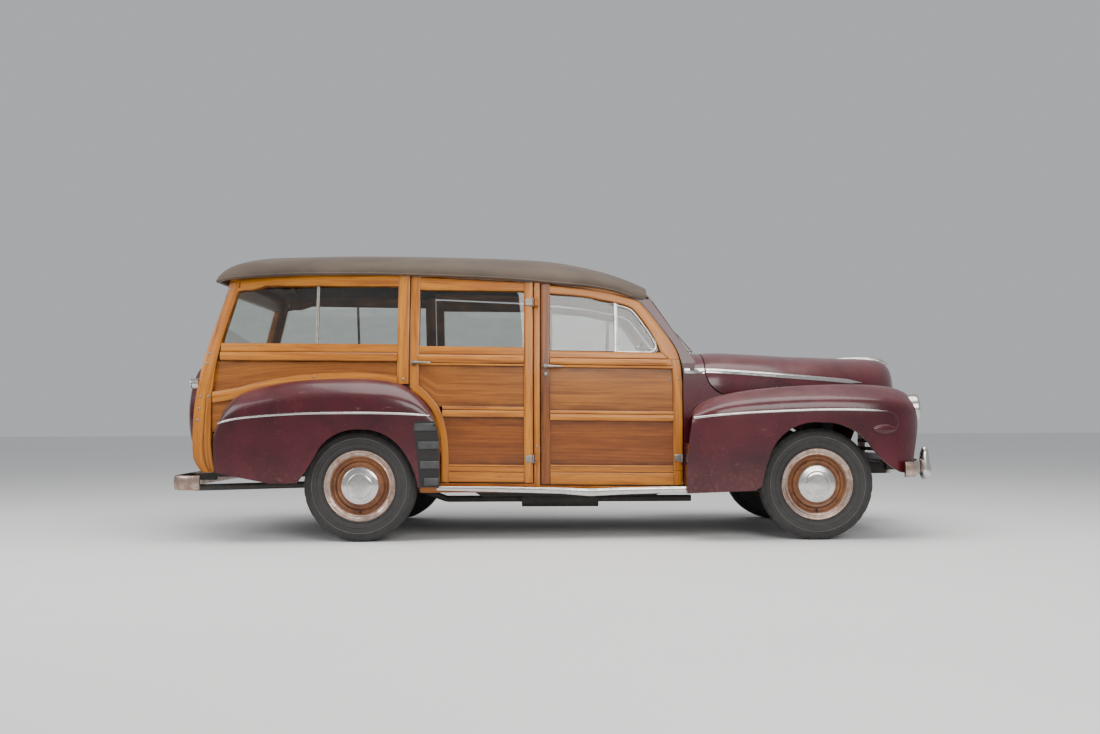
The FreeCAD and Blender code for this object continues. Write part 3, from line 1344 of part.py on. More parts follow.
rear_rows = fender_rows(REAR_FENDER_SHARES, S.rear_fender_rear_x, S.rear_fender_front_x, float(S.side_bulge_w),
                        float(S.rear_fender_half_width), float(S.rear_fender_top_z))
rear_bottom = float(S.rear_fender_bottom_z)
rear_outer, rear_shell = fender_shell(rear_rows, rear_bottom, sheet_steel, (0, 1, 2, 4, 5, 6, 7, 8, 9, 10))
REAR_ARCH_SHARES = [
    (0.0, 0.083), (0.066, 0.265, "via"), (0.191, 0.69), (0.315, 0.904, "via"), (0.53, 1.0),
    (0.76, 0.87, "via"), (0.89, 0.60), (0.965, 0.3, "via"), (1.0, 0.0),
]
rear_arch = spread(REAR_ARCH_SHARES, S.rear_arch_rear_x, S.rear_arch_front_x,
                   S.rear_fender_bottom_z, S.rear_arch_top_z)
above = S.rear_fender_top_z + S.overrun * 2
rear_side = [
    (S.rear_fender_rear_x, S.rear_fender_bottom_z + S.rear_arch_top_z * 0.14),
    (S.rear_fender_rear_x, above), (S.rear_fender_front_x, above), (S.rear_fender_front_x, S.rear_fender_bottom_z),
] + rear_arch[::-1] + [(S.rear_fender_rear_x * 0.83, S.rear_fender_bottom_z + S.rear_arch_top_z * 0.04)]
rear_prism = prism("RearFenderSide", outline("RearFenderOutline", rear_side), reach_low, reach_high)
rear_fender = cut(
    "RearFenderLeft", common("RearFenderTrim", form("RearFenderShell", rear_shell), rear_prism),
    fuse("RearFenderCuts", body_space, rear_door_space))
node("rear_fenders", bundle("RearFenders", rear_fender, mirror("RearFenderRight", rear_fender)))
guard_rows = fender_rows(REAR_FENDER_SHARES, S.rear_fender_rear_x, S.rear_fender_front_x, float(S.side_bulge_w),
                         float(S.rear_fender_half_width), float(S.rear_fender_top_z), float(S.guard_thickness))
guard_outer = Part.makeLoft([fender_wire(*row, rear_bottom) for row in guard_rows[-4:]], True, False)
guard_inner = Part.makeLoft([fender_wire(*row, rear_bottom) for row in rear_rows[-4:]], True, False)
GUARD_SHARES = [(0.0, 0.0), (-0.07, 0.35, "via"), (-0.30, 0.89), (-0.21, 1.0), (1.0, 1.0), (1.0, 0.0)]
guard_side = spread(GUARD_SHARES, S.rear_arch_front_x + S.fender_thickness, S.rear_fender_front_x,
                    S.rear_fender_bottom_z, S.rear_fender_bottom_z + S.guard_height)
guard_prism = prism("GuardSide", outline("GuardOutline", guard_side), S.rear_fender_half_width * 0.9, reach_high)
guard = cut("GuardLeft", common("GuardTrim", form("GuardShell", guard_outer.cut(guard_inner)), guard_prism),
            fuse("GuardCuts", rear_door_space, rear_fender))
node("stone_guards", bundle("StoneGuards", guard, mirror("GuardRight", guard)))


# Nose apron and grille, bowed bands between the fenders
def bowed_band(name, front_x, end_x, half_width, thickness, low, high):
    points = [
        (end_x, half_width), (front_x, 0, "via"), (end_x, -half_width),
        (end_x - thickness, -half_width), (front_x - thickness, 0, "via"), (end_x - thickness, half_width),
    ]
    return prism(name, outline(name + "Outline", points, plane=TOP_PLANE), low, high, "z")


apron_band = bowed_band("ApronBand", S.nose_x - S.grille_reach * 0.5, S.nose_x - S.apron_depth * 2, S.nose_half_width,
                        S.apron_depth, S.apron_bottom_z, S.apron_top_z)
grille_hole = block("GrilleHole", (S.nose_x - S.nose_half_width, S.nose_x + S.overrun),
                    (-S.grille_half_width, S.grille_half_width), (S.grille_bottom_z, S.grille_top_z))
fender_solid = form("FrontFenderSolid", front_outer)
apron_cuts = fuse("ApronCuts", grille_hole, fender_solid, mirror("FrontFenderSolidRight", fender_solid))
node("nose_apron", cut("NoseApron", apron_band, apron_cuts))
bars = []
for index in range(5):
    low = S.grille_bottom_z + S.grille_bar_gap * 0.5 + (S.grille_bar_height + S.grille_bar_gap) * index
    bars.append(bowed_band(f"GrilleBar{index + 1}", S.nose_x, S.nose_x - S.apron_depth * 1.6, S.grille_half_width,
                           S.grille_bar_depth, low, low + S.grille_bar_height))
bars.append(block("GrillePost", (S.nose_x - S.grille_bar_depth * 1.5, S.nose_x), (-S.grille_bar_gap, S.grille_bar_gap),
                  (S.grille_bottom_z, S.grille_top_z)))
node("grille", fuse("Grille", *bars))


# Lamps
def lamp(name, radius, depth, reach, x, w, z, direction):
    profile = [(0, 0), (0, radius), (depth, radius), (depth + reach * 0.6, radius * 0.8), (depth + reach, 0)]
    body = turned(name, profile, x, w, z)
    return place(body, x, w, z, Rotation(Vector(0, 0, 1), -90 * direction))


head = lamp("HeadlampLeft", S.lamp_radius - S.fit, S.lamp_depth, S.lamp_reach, S.nose_x - S.lamp_depth, S.lamp_w, S.lamp_z, 1)
node("headlamps", bundle("Headlamps", head, mirror("HeadlampRight", head)))
tail_lamp_w = side_width(S.tail_low_x, S.tail_lamp_z) - S.wall_thickness * 0.2
tail_light = lamp("TailLampLeft", S.tail_lamp_radius, S.tail_lamp_depth, S.tail_lamp_depth * 0.4,
                  S.tail_belt_x - S.fender_thickness, tail_lamp_w, S.tail_lamp_z, -1)
tail_light_cut = cut("TailLampSeat", tail_light, quarter_left)
node("tail_lamps", bundle("TailLamps", tail_light_cut, mirror("TailLampRight", tail_light_cut)))


# Bumpers: bowed bars with wrapped ends, guards and brackets
def bumper(name, centre_x, bow, wrap, centre_z, height, rail_end_x, direction):
    end_x = centre_x - bow * direction
    wrap_x = end_x - wrap * direction
    half = S.bumper_half_width
    turn = S.bumper_height_round
    loops = []
    for inset, order in ((0, 1), (S.bumper_thickness, -1)):
        side = half - inset
        tip = end_x - inset * direction
        middle = centre_x - inset * direction
        bend = turn - inset * 0.5
        path = [
            (wrap_x, side), (tip - bend * direction, side), (tip - bend * 0.29 * direction, side - bend * 0.29, "via"),
            (tip, side - bend), (middle, 0, "via"), (tip, bend - side),
            (tip - bend * 0.29 * direction, bend * 0.29 - side, "via"), (tip - bend * direction, -side), (wrap_x, -side),
        ]
        loops += path[::order]
    bar = prism(name + "Bar", outline(name + "Plan", loops, plane=TOP_PLANE), centre_z - height * 0.5,
                centre_z + height * 0.5, "z")
    pieces = [bar]
    for side in (1, -1):
        w = S.rail_front_w * side - S.rail_width * 0.5 * side
        low_w = w - S.bracket_width * 0.5
        reach = (rail_end_x, centre_x - bow * 0.15 * direction - S.bumper_thickness * direction)
        pieces.append(block(f"{name}Bracket{side}", reach if direction > 0 else reach[::-1],
                            (low_w, low_w + S.bracket_width),
                            (S.rail_front_z + S.bracket_height * 0.5, S.rail_front_z + S.bracket_height * 1.5)))
    return pieces


def guard_post(name, face_x, centre_z, direction):
    posts = []
    for side in (1, -1):
        low_w = S.guard_post_w * side - S.guard_post_width * 0.5
        reach = (face_x - S.bumper_thickness * direction, face_x + S.guard_post_reach * direction)
        posts.append(block(f"{name}{side}", reach if direction > 0 else reach[::-1],
                           (low_w, low_w + S.guard_post_width),
                           (centre_z - S.guard_post_height * 0.5, centre_z + S.guard_post_height * 0.5)))
    return posts


front_guard_x = S.front_bumper_x - S.front_bow * 0.2 + S.bumper_thickness * 0.5
node("front_bumper", fuse(
    "FrontBumper", *bumper("FrontBumper", S.front_bumper_x, S.front_bow, S.front_wrap, S.front_bumper_z, S.front_bumper_height,
                           S.rail_front_x, 1),
    *guard_post("FrontGuard", front_guard_x, S.front_bumper_z + S.bumper_thickness, 1)))
node("rear_bumper", fuse(
    "RearBumper", *bumper("RearBumper", S.rear_bumper_x, S.rear_bow, S.rear_wrap, S.rear_bumper_z, S.rear_bumper_height,
                          S.rail_rear_x, -1)))

# Sill mouldings
sill_rear_x = S.rear_fender_front_x + S.fit
sill_profile = [
    (side_width(S.side_centre_x, S.side_sill_z) - S.overrun, frame_low - S.fit - S.guard_thickness),
    (side_width(S.side_centre_x, S.side_sill_z) - S.overrun, frame_low + S.sill_height * 0.5),
    (S.sill_half_width - S.fender_thickness, frame_low + S.sill_height * 0.8),
    (S.sill_half_width, frame_low + S.sill_height * 0.4, "via"),
    (S.sill_half_width - S.fender_thickness, frame_low - S.fit),
]
sill_bar = prism("SillBar", outline("SillProfile", sill_profile, plane=FRONT_PLANE), sill_rear_x,
                 S.front_fender_rear_x - S.fit, "x")
sill_left = cut("SillMouldingLeft", sill_bar, fuse("SillCuts", wall, guard, rear_fender, front_fender, front_door_space, rear_door_space))
node("sill_mouldings", bundle("SillMouldings", sill_left, mirror("SillMouldingRight", sill_left)))

# Chassis: two side rails that spread to the rear and rise over the axles, joined by cross members
rail_side = [
    (S.rail_rear_x, S.rail_front_z), (S.heel_x - S.overrun * 8, S.rail_front_z),
    (S.heel_x, S.rail_low_z), (S.toe_x, S.rail_low_z),
    (S.toe_x + S.overrun * 10, S.rail_front_z), (S.rail_front_x, S.rail_front_z),
    (S.rail_front_x, S.rail_front_z + S.rail_width), (S.toe_x + S.overrun * 12, S.rail_front_z + S.rail_height),
    (S.toe_x + S.floor_thickness * 2, S.rail_low_z + S.rail_height),
    (S.heel_x - S.floor_thickness * 2, S.rail_low_z + S.rail_height),
    (S.heel_x - S.overrun * 7, S.rail_front_z + S.rail_height), (S.rail_rear_x, S.rail_front_z + S.rail_height),
]
rail_profile = prism("RailSide", outline("RailSideOutline", rail_side), S.rail_front_w * 0.5, S.rail_rear_w * 1.2)
rail_plan = [
    (S.rail_front_x, S.rail_front_w), (S.heel_x, S.rail_rear_w), (S.rail_rear_x, S.rail_rear_w),
    (S.rail_rear_x, S.rail_rear_w - S.rail_width), (S.heel_x, S.rail_rear_w - S.rail_width),
    (S.rail_front_x, S.rail_front_w - S.rail_width),
]
rail = common("RailLeft", rail_profile, prism(
    "RailPlan", outline("RailPlanOutline", rail_plan, plane=TOP_PLANE), S.rail_low_z * 0.5, S.rail_front_z * 2, "z"))
rails = bundle("ChassisRails", rail, mirror("RailRight", rail))
node("chassis_frame", rails)
members = []
cross_places = [
    (S.rail_rear_x, S.rail_front_z), (S.tank_rear_x + S.tank_length * 0.2, S.rail_front_z),
    (S.heel_x, S.rail_low_z - S.cross_height * 0.1), (S.toe_x - S.cross_width * 2, S.rail_low_z),
    (S.front_axle_x - S.cross_width * 0.5, S.rail_front_z), (S.rail_front_x - S.cross_width, S.rail_front_z),
    (S.front_axle_x - S.cross_width * 3, S.engine_bottom_z - S.fit - S.cross_height),
    (S.radiator_x, S.radiator_bottom_z - S.fit - S.cross_height),
    (rear_axle_x - S.cross_width * 0.5, S.rail_front_z + S.rail_height - S.cross_height),
]
for index, (x, z) in enumerate(cross_places):
    taper = max(float((x - S.heel_x) / (S.rail_front_x - S.heel_x)), 0)
    half = S.rail_rear_w - S.rail_width * 0.5 - (S.rail_rear_w - S.rail_front_w) * taper
    members.append(block(f"CrossMember{index + 1}", (x, x + S.cross_width), (-half, half), (z, z + S.cross_height)))
node("cross_members", cut("CrossMembers", bundle("CrossMemberBlocks", *members), rails))

# Floor: front pan, heel board, cargo floor, toe board and wheel housings
sheet_floor = S.floor_thickness
floor_rear_x = S.tail_low_x + S.gate_thickness + S.lid_gap
floor_side = [
    (floor_rear_x, S.rear_floor_z), (S.heel_x - sheet_floor, S.rear_floor_z),
    (S.heel_x - sheet_floor, S.front_floor_z), (S.toe_x, S.front_floor_z),
    (S.cowl_front_x - S.firewall_thickness, S.toe_top_z), (S.cowl_front_x - S.firewall_thickness, S.toe_top_z + sheet_floor),
    (S.toe_x - sheet_floor * 0.5, S.front_floor_z + sheet_floor), (S.heel_x, S.front_floor_z + sheet_floor),
    (S.heel_x, S.rear_floor_z + sheet_floor), (floor_rear_x, S.rear_floor_z + sheet_floor),
]
inside = S.side_sill_w - S.wall_thickness - S.floor_edge_inset
floor_front_w = bowed(inside, S.cowl_front_x)
floor_rear_w = bowed(inside, floor_rear_x)
floor_plan = [
    (floor_rear_x, floor_rear_w), (S.side_centre_x, inside, "via"), (S.cowl_front_x, floor_front_w),
    (S.cowl_front_x, -floor_front_w), (S.side_centre_x, -inside, "via"), (floor_rear_x, -floor_rear_w),
]
floor_sheet = common("FloorSheet", prism("FloorSheets", outline("FloorSideOutline", floor_side), -reach_low * 2, reach_low * 2),
                     prism("FloorPlan", outline("FloorPlanOutline", floor_plan, plane=TOP_PLANE), 0, S.side_belt_z, "z"))
housing_x = (rear_axle_x - S.housing_length * 0.5, rear_axle_x + S.housing_length * 0.5)
housing_edge = bowed(inside, housing_x[0])
housing_out = block("HousingOuter", housing_x, (S.housing_half_width, housing_edge), (S.rear_floor_z, S.housing_top_z))
housing_in = block(
    "HousingInner", (housing_x[0] + sheet_floor, housing_x[1] - sheet_floor),
    (S.housing_half_width + sheet_floor, housing_edge + S.overrun), (S.rear_floor_z - S.overrun, S.housing_top_z - sheet_floor))
both_out = [housing_out, mirror("HousingOuterRight", housing_out)]
both_in = [housing_in, mirror("HousingInnerRight", housing_in)]
cargo_boards = block(
    "CargoBoards", (S.cargo_board_rear_x, S.cargo_board_rear_x + S.cargo_board_length),
    (-S.cargo_board_half_width, S.cargo_board_half_width),
    (S.rear_floor_z + sheet_floor * 0.5, S.rear_floor_z + sheet_floor + S.cargo_board_thickness))
node("floor_pan", cut("FloorPan", fuse("FloorParts", floor_sheet, cargo_boards, *both_out), fuse("FloorCuts", *both_in)))

# Front axle: dropped beam with bosses for the kingpins, cross spring and radius rods
beam_z = S.tyre_radius - S.axle_drop
beam_end = S.kingpin_w - S.knuckle_width * 0.25
beam_low = beam_z - S.axle_beam_height * 0.5
beam_profile = [
    (-beam_end, S.tyre_radius - S.axle_beam_height * 0.5), (-beam_end, S.tyre_radius + S.axle_beam_height * 0.5),
    (-beam_end * 0.9, S.tyre_radius + S.axle_beam_height * 0.5), (-beam_end * 0.72, beam_low + S.axle_beam_height),
    (beam_end * 0.72, beam_low + S.axle_beam_height), (beam_end * 0.9, S.tyre_radius + S.axle_beam_height * 0.5),
    (beam_end, S.tyre_radius + S.axle_beam_height * 0.5), (beam_end, S.tyre_radius - S.axle_beam_height * 0.5),
    (beam_end * 0.9, S.tyre_radius - S.axle_beam_height * 0.5), (beam_end * 0.72, beam_low),
    (-beam_end * 0.72, beam_low), (-beam_end * 0.9, S.tyre_radius - S.axle_beam_height * 0.5),
]
beam_blank = prism("AxleBeamBlank", outline("AxleBeamOutline", beam_profile, plane=FRONT_PLANE),
             S.front_axle_x - S.axle_beam_width * 0.5, S.front_axle_x + S.axle_beam_width * 0.5, "x")
boss_space = rod("BossSpace", S.knuckle_width * 0.5 + S.fit, S.knuckle_height, "z", S.front_axle_x, S.kingpin_w,
                 S.tyre_radius - S.knuckle_height * 0.5)
swing_top = S.tyre_radius + S.arm_swing_rise
arm_space = rod("ArmSpace", S.arm_swing_radius, S.knuckle_height, "z", S.front_axle_x, S.kingpin_w,
                swing_top - S.knuckle_height)
end_space = fuse("BeamEndSpace", boss_space, arm_space)
beam = cut("AxleBeam", beam_blank, fuse("BeamEndSpaces", end_space, mirror("BeamEndSpaceRight", end_space)))
spring_z = S.rail_front_z - S.fit
spring_half = S.rail_front_w
spring_profile = [
    (-spring_half, beam_low + S.axle_beam_height), (0, spring_z, "via"), (spring_half, beam_low + S.axle_beam_height),
    (spring_half - S.spring_height, beam_low + S.axle_beam_height), (0, spring_z - S.spring_height, "via"),
    (S.spring_height - spring_half, beam_low + S.axle_beam_height),
]
front_spring = prism("FrontSpring", outline("FrontSpringOutline", spring_profile, plane=FRONT_PLANE),
                     S.front_axle_x - S.spring_width * 0.5, S.front_axle_x + S.spring_width * 0.5, "x")
axle_pieces = [beam, front_spring]
for side in (1, -1):
    axle_pieces.append(strut(
        f"RadiusRod{side}", S.radius_rod_radius, (S.front_axle_x, beam_end * 0.66 * side, beam_z),
        (S.toe_x, S.rail_width * side * 0.2, beam_z)))
node("front_axle", fuse("FrontAxle", *axle_pieces))

# Rear axle: tubes, banjo, torque tube and cross spring
hub_reach = S.bead_width * 0.5 - S.bowl_depth - S.disc_thickness * 2 - S.fit
rear_hub_w = S.rear_track * 0.5 + hub_reach
tube_end = S.rear_track * 0.5 - S.bowl_depth - S.drum_width
tube = rod("AxleTube", S.axle_tube_radius, tube_end * 2, "y", rear_axle_x, -tube_end, S.tyre_radius)
banjo = rod("Banjo", S.banjo_radius, S.banjo_width, "y", rear_axle_x, S.banjo_width * -0.5, S.tyre_radius)
torque_tube = rod("TorqueTube", S.torque_tube_radius, S.torque_tube_length, "x", rear_axle_x, 0, S.tyre_radius)
spring_top = S.rail_front_z + S.rail_height - S.cross_height - S.fit
rear_spring_profile = [
    (-tube_end * 0.75, S.tyre_radius), (0, spring_top, "via"), (tube_end * 0.75, S.tyre_radius),
    (tube_end * 0.75 - S.spring_height, S.tyre_radius), (0, spring_top - S.spring_height, "via"),
    (S.spring_height - tube_end * 0.75, S.tyre_radius),
]
rear_spring = prism("RearSpring", outline("RearSpringOutline", rear_spring_profile, plane=FRONT_PLANE),
                    rear_axle_x - S.spring_width * 0.5, rear_axle_x + S.spring_width * 0.5, "x")
shaft = rod("AxleShaft", S.spindle_radius, rear_hub_w * 2, "y", rear_axle_x, -rear_hub_w, S.tyre_radius)
drums = [
    rod("RearDrumLeft", S.drum_radius, S.drum_width, "y", rear_axle_x, tube_end, S.tyre_radius),
    rod("RearDrumRight", S.drum_radius, S.drum_width, "y", rear_axle_x, -tube_end - S.drum_width, S.tyre_radius),
]
node("rear_axle", fuse("RearAxle", tube, banjo, torque_tube, rear_spring, shaft, *drums))

# Knuckles: boss on the kingpin, spindle, backing drum and steering arm
boss = rod("KnuckleBoss", S.knuckle_width * 0.5, S.knuckle_height, "z", S.front_axle_x, S.kingpin_w,
           S.tyre_radius - S.knuckle_height * 0.5)
front_hub_w = S.front_track * 0.5
spindle_end = front_hub_w + hub_reach
spindle = rod("Spindle", S.spindle_radius, spindle_end - S.kingpin_w, "y", S.front_axle_x, S.kingpin_w, S.tyre_radius)
backing = rod("BackingPlate", S.drum_radius, S.drum_width * 0.3, "y", S.front_axle_x,
              S.kingpin_w + S.knuckle_width * 0.5 - S.fit, S.tyre_radius)
arm_z = S.tyre_radius - S.steer_arm_width * 0.5
steer_arm = block("SteerArm", (S.front_axle_x - S.steer_arm_length, S.front_axle_x),
                  (S.kingpin_w - S.steer_arm_width * 0.5, S.kingpin_w + S.steer_arm_width * 0.5),
                  (arm_z, arm_z + S.steer_arm_width * 0.5))
kingpin = rod("Kingpin", S.kingpin_radius, S.kingpin_length, "z", S.front_axle_x, S.kingpin_w,
              S.tyre_radius - S.kingpin_length * 0.5)
knuckle = fuse("KnuckleLeft", boss, spindle, backing, steer_arm, kingpin)
node("knuckle_left", knuckle)
node("knuckle_right", mirror("KnuckleRight", knuckle))
rod_z = arm_z - S.tie_rod_radius - S.fit
tie_x = S.front_axle_x - S.steer_arm_length + S.steer_arm_width * 0.5
tie_bar = rod("TieBar", S.tie_rod_radius, S.kingpin_w * 2, "y", tie_x, -S.kingpin_w, rod_z)
tie_eyes = [
    rod(f"TieEye{side}", S.steer_arm_width * 0.6, S.tie_rod_radius * 1.6, "z", tie_x, S.kingpin_w * side,
        rod_z - S.tie_rod_radius * 0.8)
    for side in (1, -1)]
node("tie_rod", fuse("TieRod", tie_bar, *tie_eyes))

# Wheels and tyres
tread = S.tread_width * 0.5
bulge = S.tyre_width * 0.5
bead = S.bead_width * 0.5
tyre_profile = [
    (bead, S.bead_radius), (bulge, S.bulge_radius), (tread, S.tyre_radius),
    (-tread, S.tyre_radius), (-bulge, S.bulge_radius), (-bead, S.bead_radius),
]
flange_w = bead + S.flange_reach
seat_radius = S.bead_radius - S.fit
wheel_profile = [
    (-bead, seat_radius), (bead + S.fit, seat_radius), (flange_w, S.flange_radius),
    (flange_w - S.trim_depth, S.trim_radius), (bead - S.bowl_depth, S.cap_radius),
    (S.cap_reach, S.cap_face_radius), (S.cap_reach, 0), (bead - S.bowl_depth - S.disc_thickness * 2, 0),
    (bead - S.bowl_depth - S.disc_thickness * 2, S.trim_radius), (-bead, S.bead_radius - S.disc_thickness),
]
for end, axle_x, track in (("front", S.front_axle_x, S.front_track), ("rear", rear_axle_x, S.rear_track)):
    for hand, side in (("left", 1), ("right", -1)):
        for kind, profile in (("tyre", tyre_profile), ("wheel", wheel_profile)):
            body = turned(f"{end}_{hand}_{kind}".title().replace("_", ""), [(reach * side, radius) for reach, radius in profile],
                          axle_x, track * 0.5 * side, S.tyre_radius)
            node(f"{kind}_{end}_{hand}", body)

# Engine, radiator, tank and exhaust
engine_front_x = S.cowl_front_x + S.engine_gap
node("engine", block("Engine", (engine_front_x, engine_front_x + S.engine_length),
                     (S.engine_width * -0.5, S.engine_width * 0.5),
                     (S.engine_bottom_z, S.engine_bottom_z + S.engine_height)))
node("radiator", block("Radiator", (S.radiator_x, S.radiator_x + S.radiator_depth),
                       (S.radiator_width * -0.5, S.radiator_width * 0.5),
                       (S.radiator_bottom_z, S.radiator_bottom_z + S.radiator_height)))
node("fuel_tank", block("FuelTank", (S.tank_rear_x - S.tank_length, S.tank_rear_x),
                        (S.tank_width * -0.5, S.tank_width * 0.5),
                        (S.rear_floor_z - S.fit - S.tank_height, S.rear_floor_z - S.fit)))
exhaust_w = -S.exhaust_w
pipe_points = [
    (S.exhaust_front_x, -S.exhaust_low_w, S.exhaust_low_z), (S.heel_x - S.exhaust_drop_length, -S.exhaust_low_w, S.exhaust_low_z),
    (rear_axle_x, exhaust_w, S.exhaust_over_z), (rear_axle_x - S.exhaust_drop_length, exhaust_w, S.exhaust_z),
    (S.exhaust_tail_x, exhaust_w, S.exhaust_z - S.exhaust_radius),
]
pipes = [strut(f"ExhaustPipe{index + 1}", S.exhaust_radius, start, end)
         for index, (start, end) in enumerate(zip(pipe_points, pipe_points[1:]))]
silencer = rod("Silencer", S.silencer_radius, S.silencer_length, "x", S.heel_x * 0.5, -S.exhaust_low_w, S.exhaust_low_z)
node("exhaust", fuse("Exhaust", *pipes, silencer))


# Seats: a cushion on its base and a leaning back, in one solid
def seat(name, x, floor_z, width):
    cushion_z = floor_z + S.seat_base_height
    top_z = cushion_z + S.seat_cushion_height
    side = [
        (x, floor_z), (x, top_z - S.seat_cushion_height * 0.4), (x - S.overrun, top_z),
        (x - S.seat_depth, top_z - S.overrun),
        (x - S.seat_depth - S.seat_back_lean, cushion_z + S.seat_back_height - S.overrun),
        (x - S.seat_depth - S.seat_back_lean - S.overrun, cushion_z + S.seat_back_height),
        (x - S.seat_depth - S.seat_back_lean - S.seat_back_thickness * 0.8, cushion_z + S.seat_back_height),
        (x - S.seat_depth - S.seat_back_thickness, cushion_z), (x - S.seat_depth - S.seat_back_thickness * 0.5, floor_z),
    ]
    return prism(name, outline(name + "Outline", side), width * -0.5, width * 0.5)


node("front_seat", seat("FrontSeat", S.front_seat_x, S.front_floor_z + S.floor_thickness, S.seat_width))
node("middle_seat", seat("MiddleSeat", S.middle_seat_x, S.rear_floor_z + S.floor_thickness, S.rear_seat_width))
node("third_seat", seat("ThirdSeat", S.third_seat_x, S.rear_floor_z + S.floor_thickness, S.rear_seat_width))

# Dashboard with the steering column, and the steering wheel
dash_z = (S.dash_z, S.dash_z + S.dash_height)
dash_panel = block("DashPanel", (S.dash_x, S.dash_x + S.dash_depth), (-S.dash_half_width, S.dash_half_width), dash_z)
flange_half = S.dash_half_width + S.wall_thickness * 0.5
dash_flange = cut("DashFlange", common("DashFlangeTrim", cowl_space, block(
    "DashFlangeBlock", (sill_front_x + S.fit, sill_front_x + S.dash_flange), (-flange_half, flange_half), dash_z)), walls)
dash_link = block("DashLink", (S.dash_x + S.dash_depth * 0.5, sill_front_x + S.dash_flange),
                  (-S.dash_link_half_width, S.dash_link_half_width), (S.dash_z + S.dash_height * 0.5, S.dash_z + S.dash_height))
hanger_x = S.dash_x + S.dash_depth * 0.5
hanger = block("ColumnHanger", (hanger_x - S.column_radius * 0.5, hanger_x + S.column_radius * 0.5),
               (S.column_w - S.column_radius, S.column_w + S.column_radius),
               (S.wheel_hub_z - (hanger_x - S.wheel_hub_x) * 0.82, S.dash_z + S.column_radius))
column_run = Vector(float(S.wheel_hub_x - S.column_foot_x), 0, float(S.wheel_hub_z - S.column_foot_z))
column_turn = Rotation(Vector(0, 0, 1), column_run)
column = doc.addObject("Part::Cylinder", "SteeringColumn")
bind(column, Radius=S.column_radius)
column.Height = column_run.Length - float(S.column_gap)
place(column, S.column_foot_x, S.column_w, S.column_foot_z, column_turn)
node("dashboard", fuse("Dashboard", dash_panel, dash_flange, dash_link, hanger, column))
rim = doc.addObject("Part::Torus", "SteeringRim")
bind(rim, Radius1=S.steering_radius, Radius2=S.steering_rim_radius)
place(rim, S.wheel_hub_x, S.column_w, S.wheel_hub_z, column_turn)
hub = doc.addObject("Part::Cylinder", "SteeringHub")
bind(hub, Radius=S.steering_hub_radius, Height=S.steering_hub_radius)
place(hub, S.wheel_hub_x, S.column_w, S.wheel_hub_z, column_turn)
spokes = []
for index in range(3):
    angle = 360 / 3 * index
    spoke = doc.addObject("Part::Cylinder", f"SteeringSpoke{index + 1}")
    bind(spoke, Radius=S.spoke_radius, Height=S.steering_radius)
    turn = column_turn.multiply(Rotation(Vector(0, 0, 1), angle)).multiply(Rotation(Vector(0, 1, 0), 90))
    spokes.append(place(spoke, S.wheel_hub_x, S.column_w, S.wheel_hub_z, turn))
node("steering_wheel", fuse("SteeringWheel", rim, hub, *spokes))

# Spare wheel under its cover, on a carrier hung from the top of the tailgate
spare_profile = [
    (0, 0), (0, S.spare_radius - S.spare_round), (S.spare_width * 0.3, S.spare_radius),
    (S.spare_width - S.spare_round * 0.5, S.spare_radius), (S.spare_width, S.spare_radius - S.spare_round), (S.spare_width, 0),
]
spare = turned("SpareCover", spare_profile, S.spare_face_x, 0, S.spare_z)
place(spare, S.spare_face_x, 0, S.spare_z, Rotation(Vector(0, 0, 1), 90))
node("spare_wheel", spare)
plate_w = (S.carrier_width * -0.5, S.carrier_width * 0.5)
arm_w = (S.carrier_barrel_length * -0.5, S.carrier_barrel_length * 0.5)
plate = block("CarrierPlate", (S.spare_face_x, S.spare_face_x + S.carrier_thickness), plate_w,
              (S.spare_z - S.carrier_width * 0.5, S.carrier_pivot_z + S.carrier_barrel_radius))
arm = block("CarrierArm", (S.spare_face_x, S.carrier_pivot_x), arm_w,
            (S.carrier_pivot_z - S.carrier_thickness, S.carrier_pivot_z + S.carrier_thickness))
barrel = rod("CarrierBarrel", S.carrier_barrel_radius, S.carrier_barrel_length, "y",
             S.carrier_pivot_x, arm_w[0], S.carrier_pivot_z)
node("spare_carrier", fuse("SpareCarrier", plate, arm, barrel))


# Build the document and check it
doc.recompute()
for item in doc.Objects:
    if "Invalid" in item.State or "Error" in item.State:
        raise RuntimeError(f"{item.Label} failed: {item.State}")
os.makedirs("parts", exist_ok=True)
for item in NODES:
    if item.Shape.isNull() or not item.Shape.isValid():
        raise RuntimeError(f"{item.Label} has no valid shape")
    item.Shape.exportStep(f"parts/{item.Label}.step")
    print(item.Label, len(item.Shape.Solids), round(item.Shape.Volume / 1e6, 2), item.Shape.BoundBox)
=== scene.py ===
import math
import bmesh
import bpy
from mathutils import Matrix, Vector
from mathutils.bvhtree import BVHTree


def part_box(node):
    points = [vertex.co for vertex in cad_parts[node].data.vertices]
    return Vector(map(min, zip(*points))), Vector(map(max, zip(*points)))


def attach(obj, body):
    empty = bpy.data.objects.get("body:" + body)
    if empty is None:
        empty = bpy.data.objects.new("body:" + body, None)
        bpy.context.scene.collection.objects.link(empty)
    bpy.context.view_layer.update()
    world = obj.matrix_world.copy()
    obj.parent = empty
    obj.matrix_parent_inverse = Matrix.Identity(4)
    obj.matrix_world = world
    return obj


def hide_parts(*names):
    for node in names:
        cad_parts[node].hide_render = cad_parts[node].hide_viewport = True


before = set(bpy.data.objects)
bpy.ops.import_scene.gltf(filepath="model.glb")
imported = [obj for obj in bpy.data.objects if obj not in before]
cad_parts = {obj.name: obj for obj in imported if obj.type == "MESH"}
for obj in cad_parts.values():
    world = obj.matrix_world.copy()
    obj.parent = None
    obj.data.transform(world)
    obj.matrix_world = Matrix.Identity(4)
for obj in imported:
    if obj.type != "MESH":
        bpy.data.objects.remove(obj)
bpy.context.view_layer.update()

SIDES = ((1, "left"), (-1, "right"))
GRAIN_STEPS = (1.37, 0.61, 2.9)


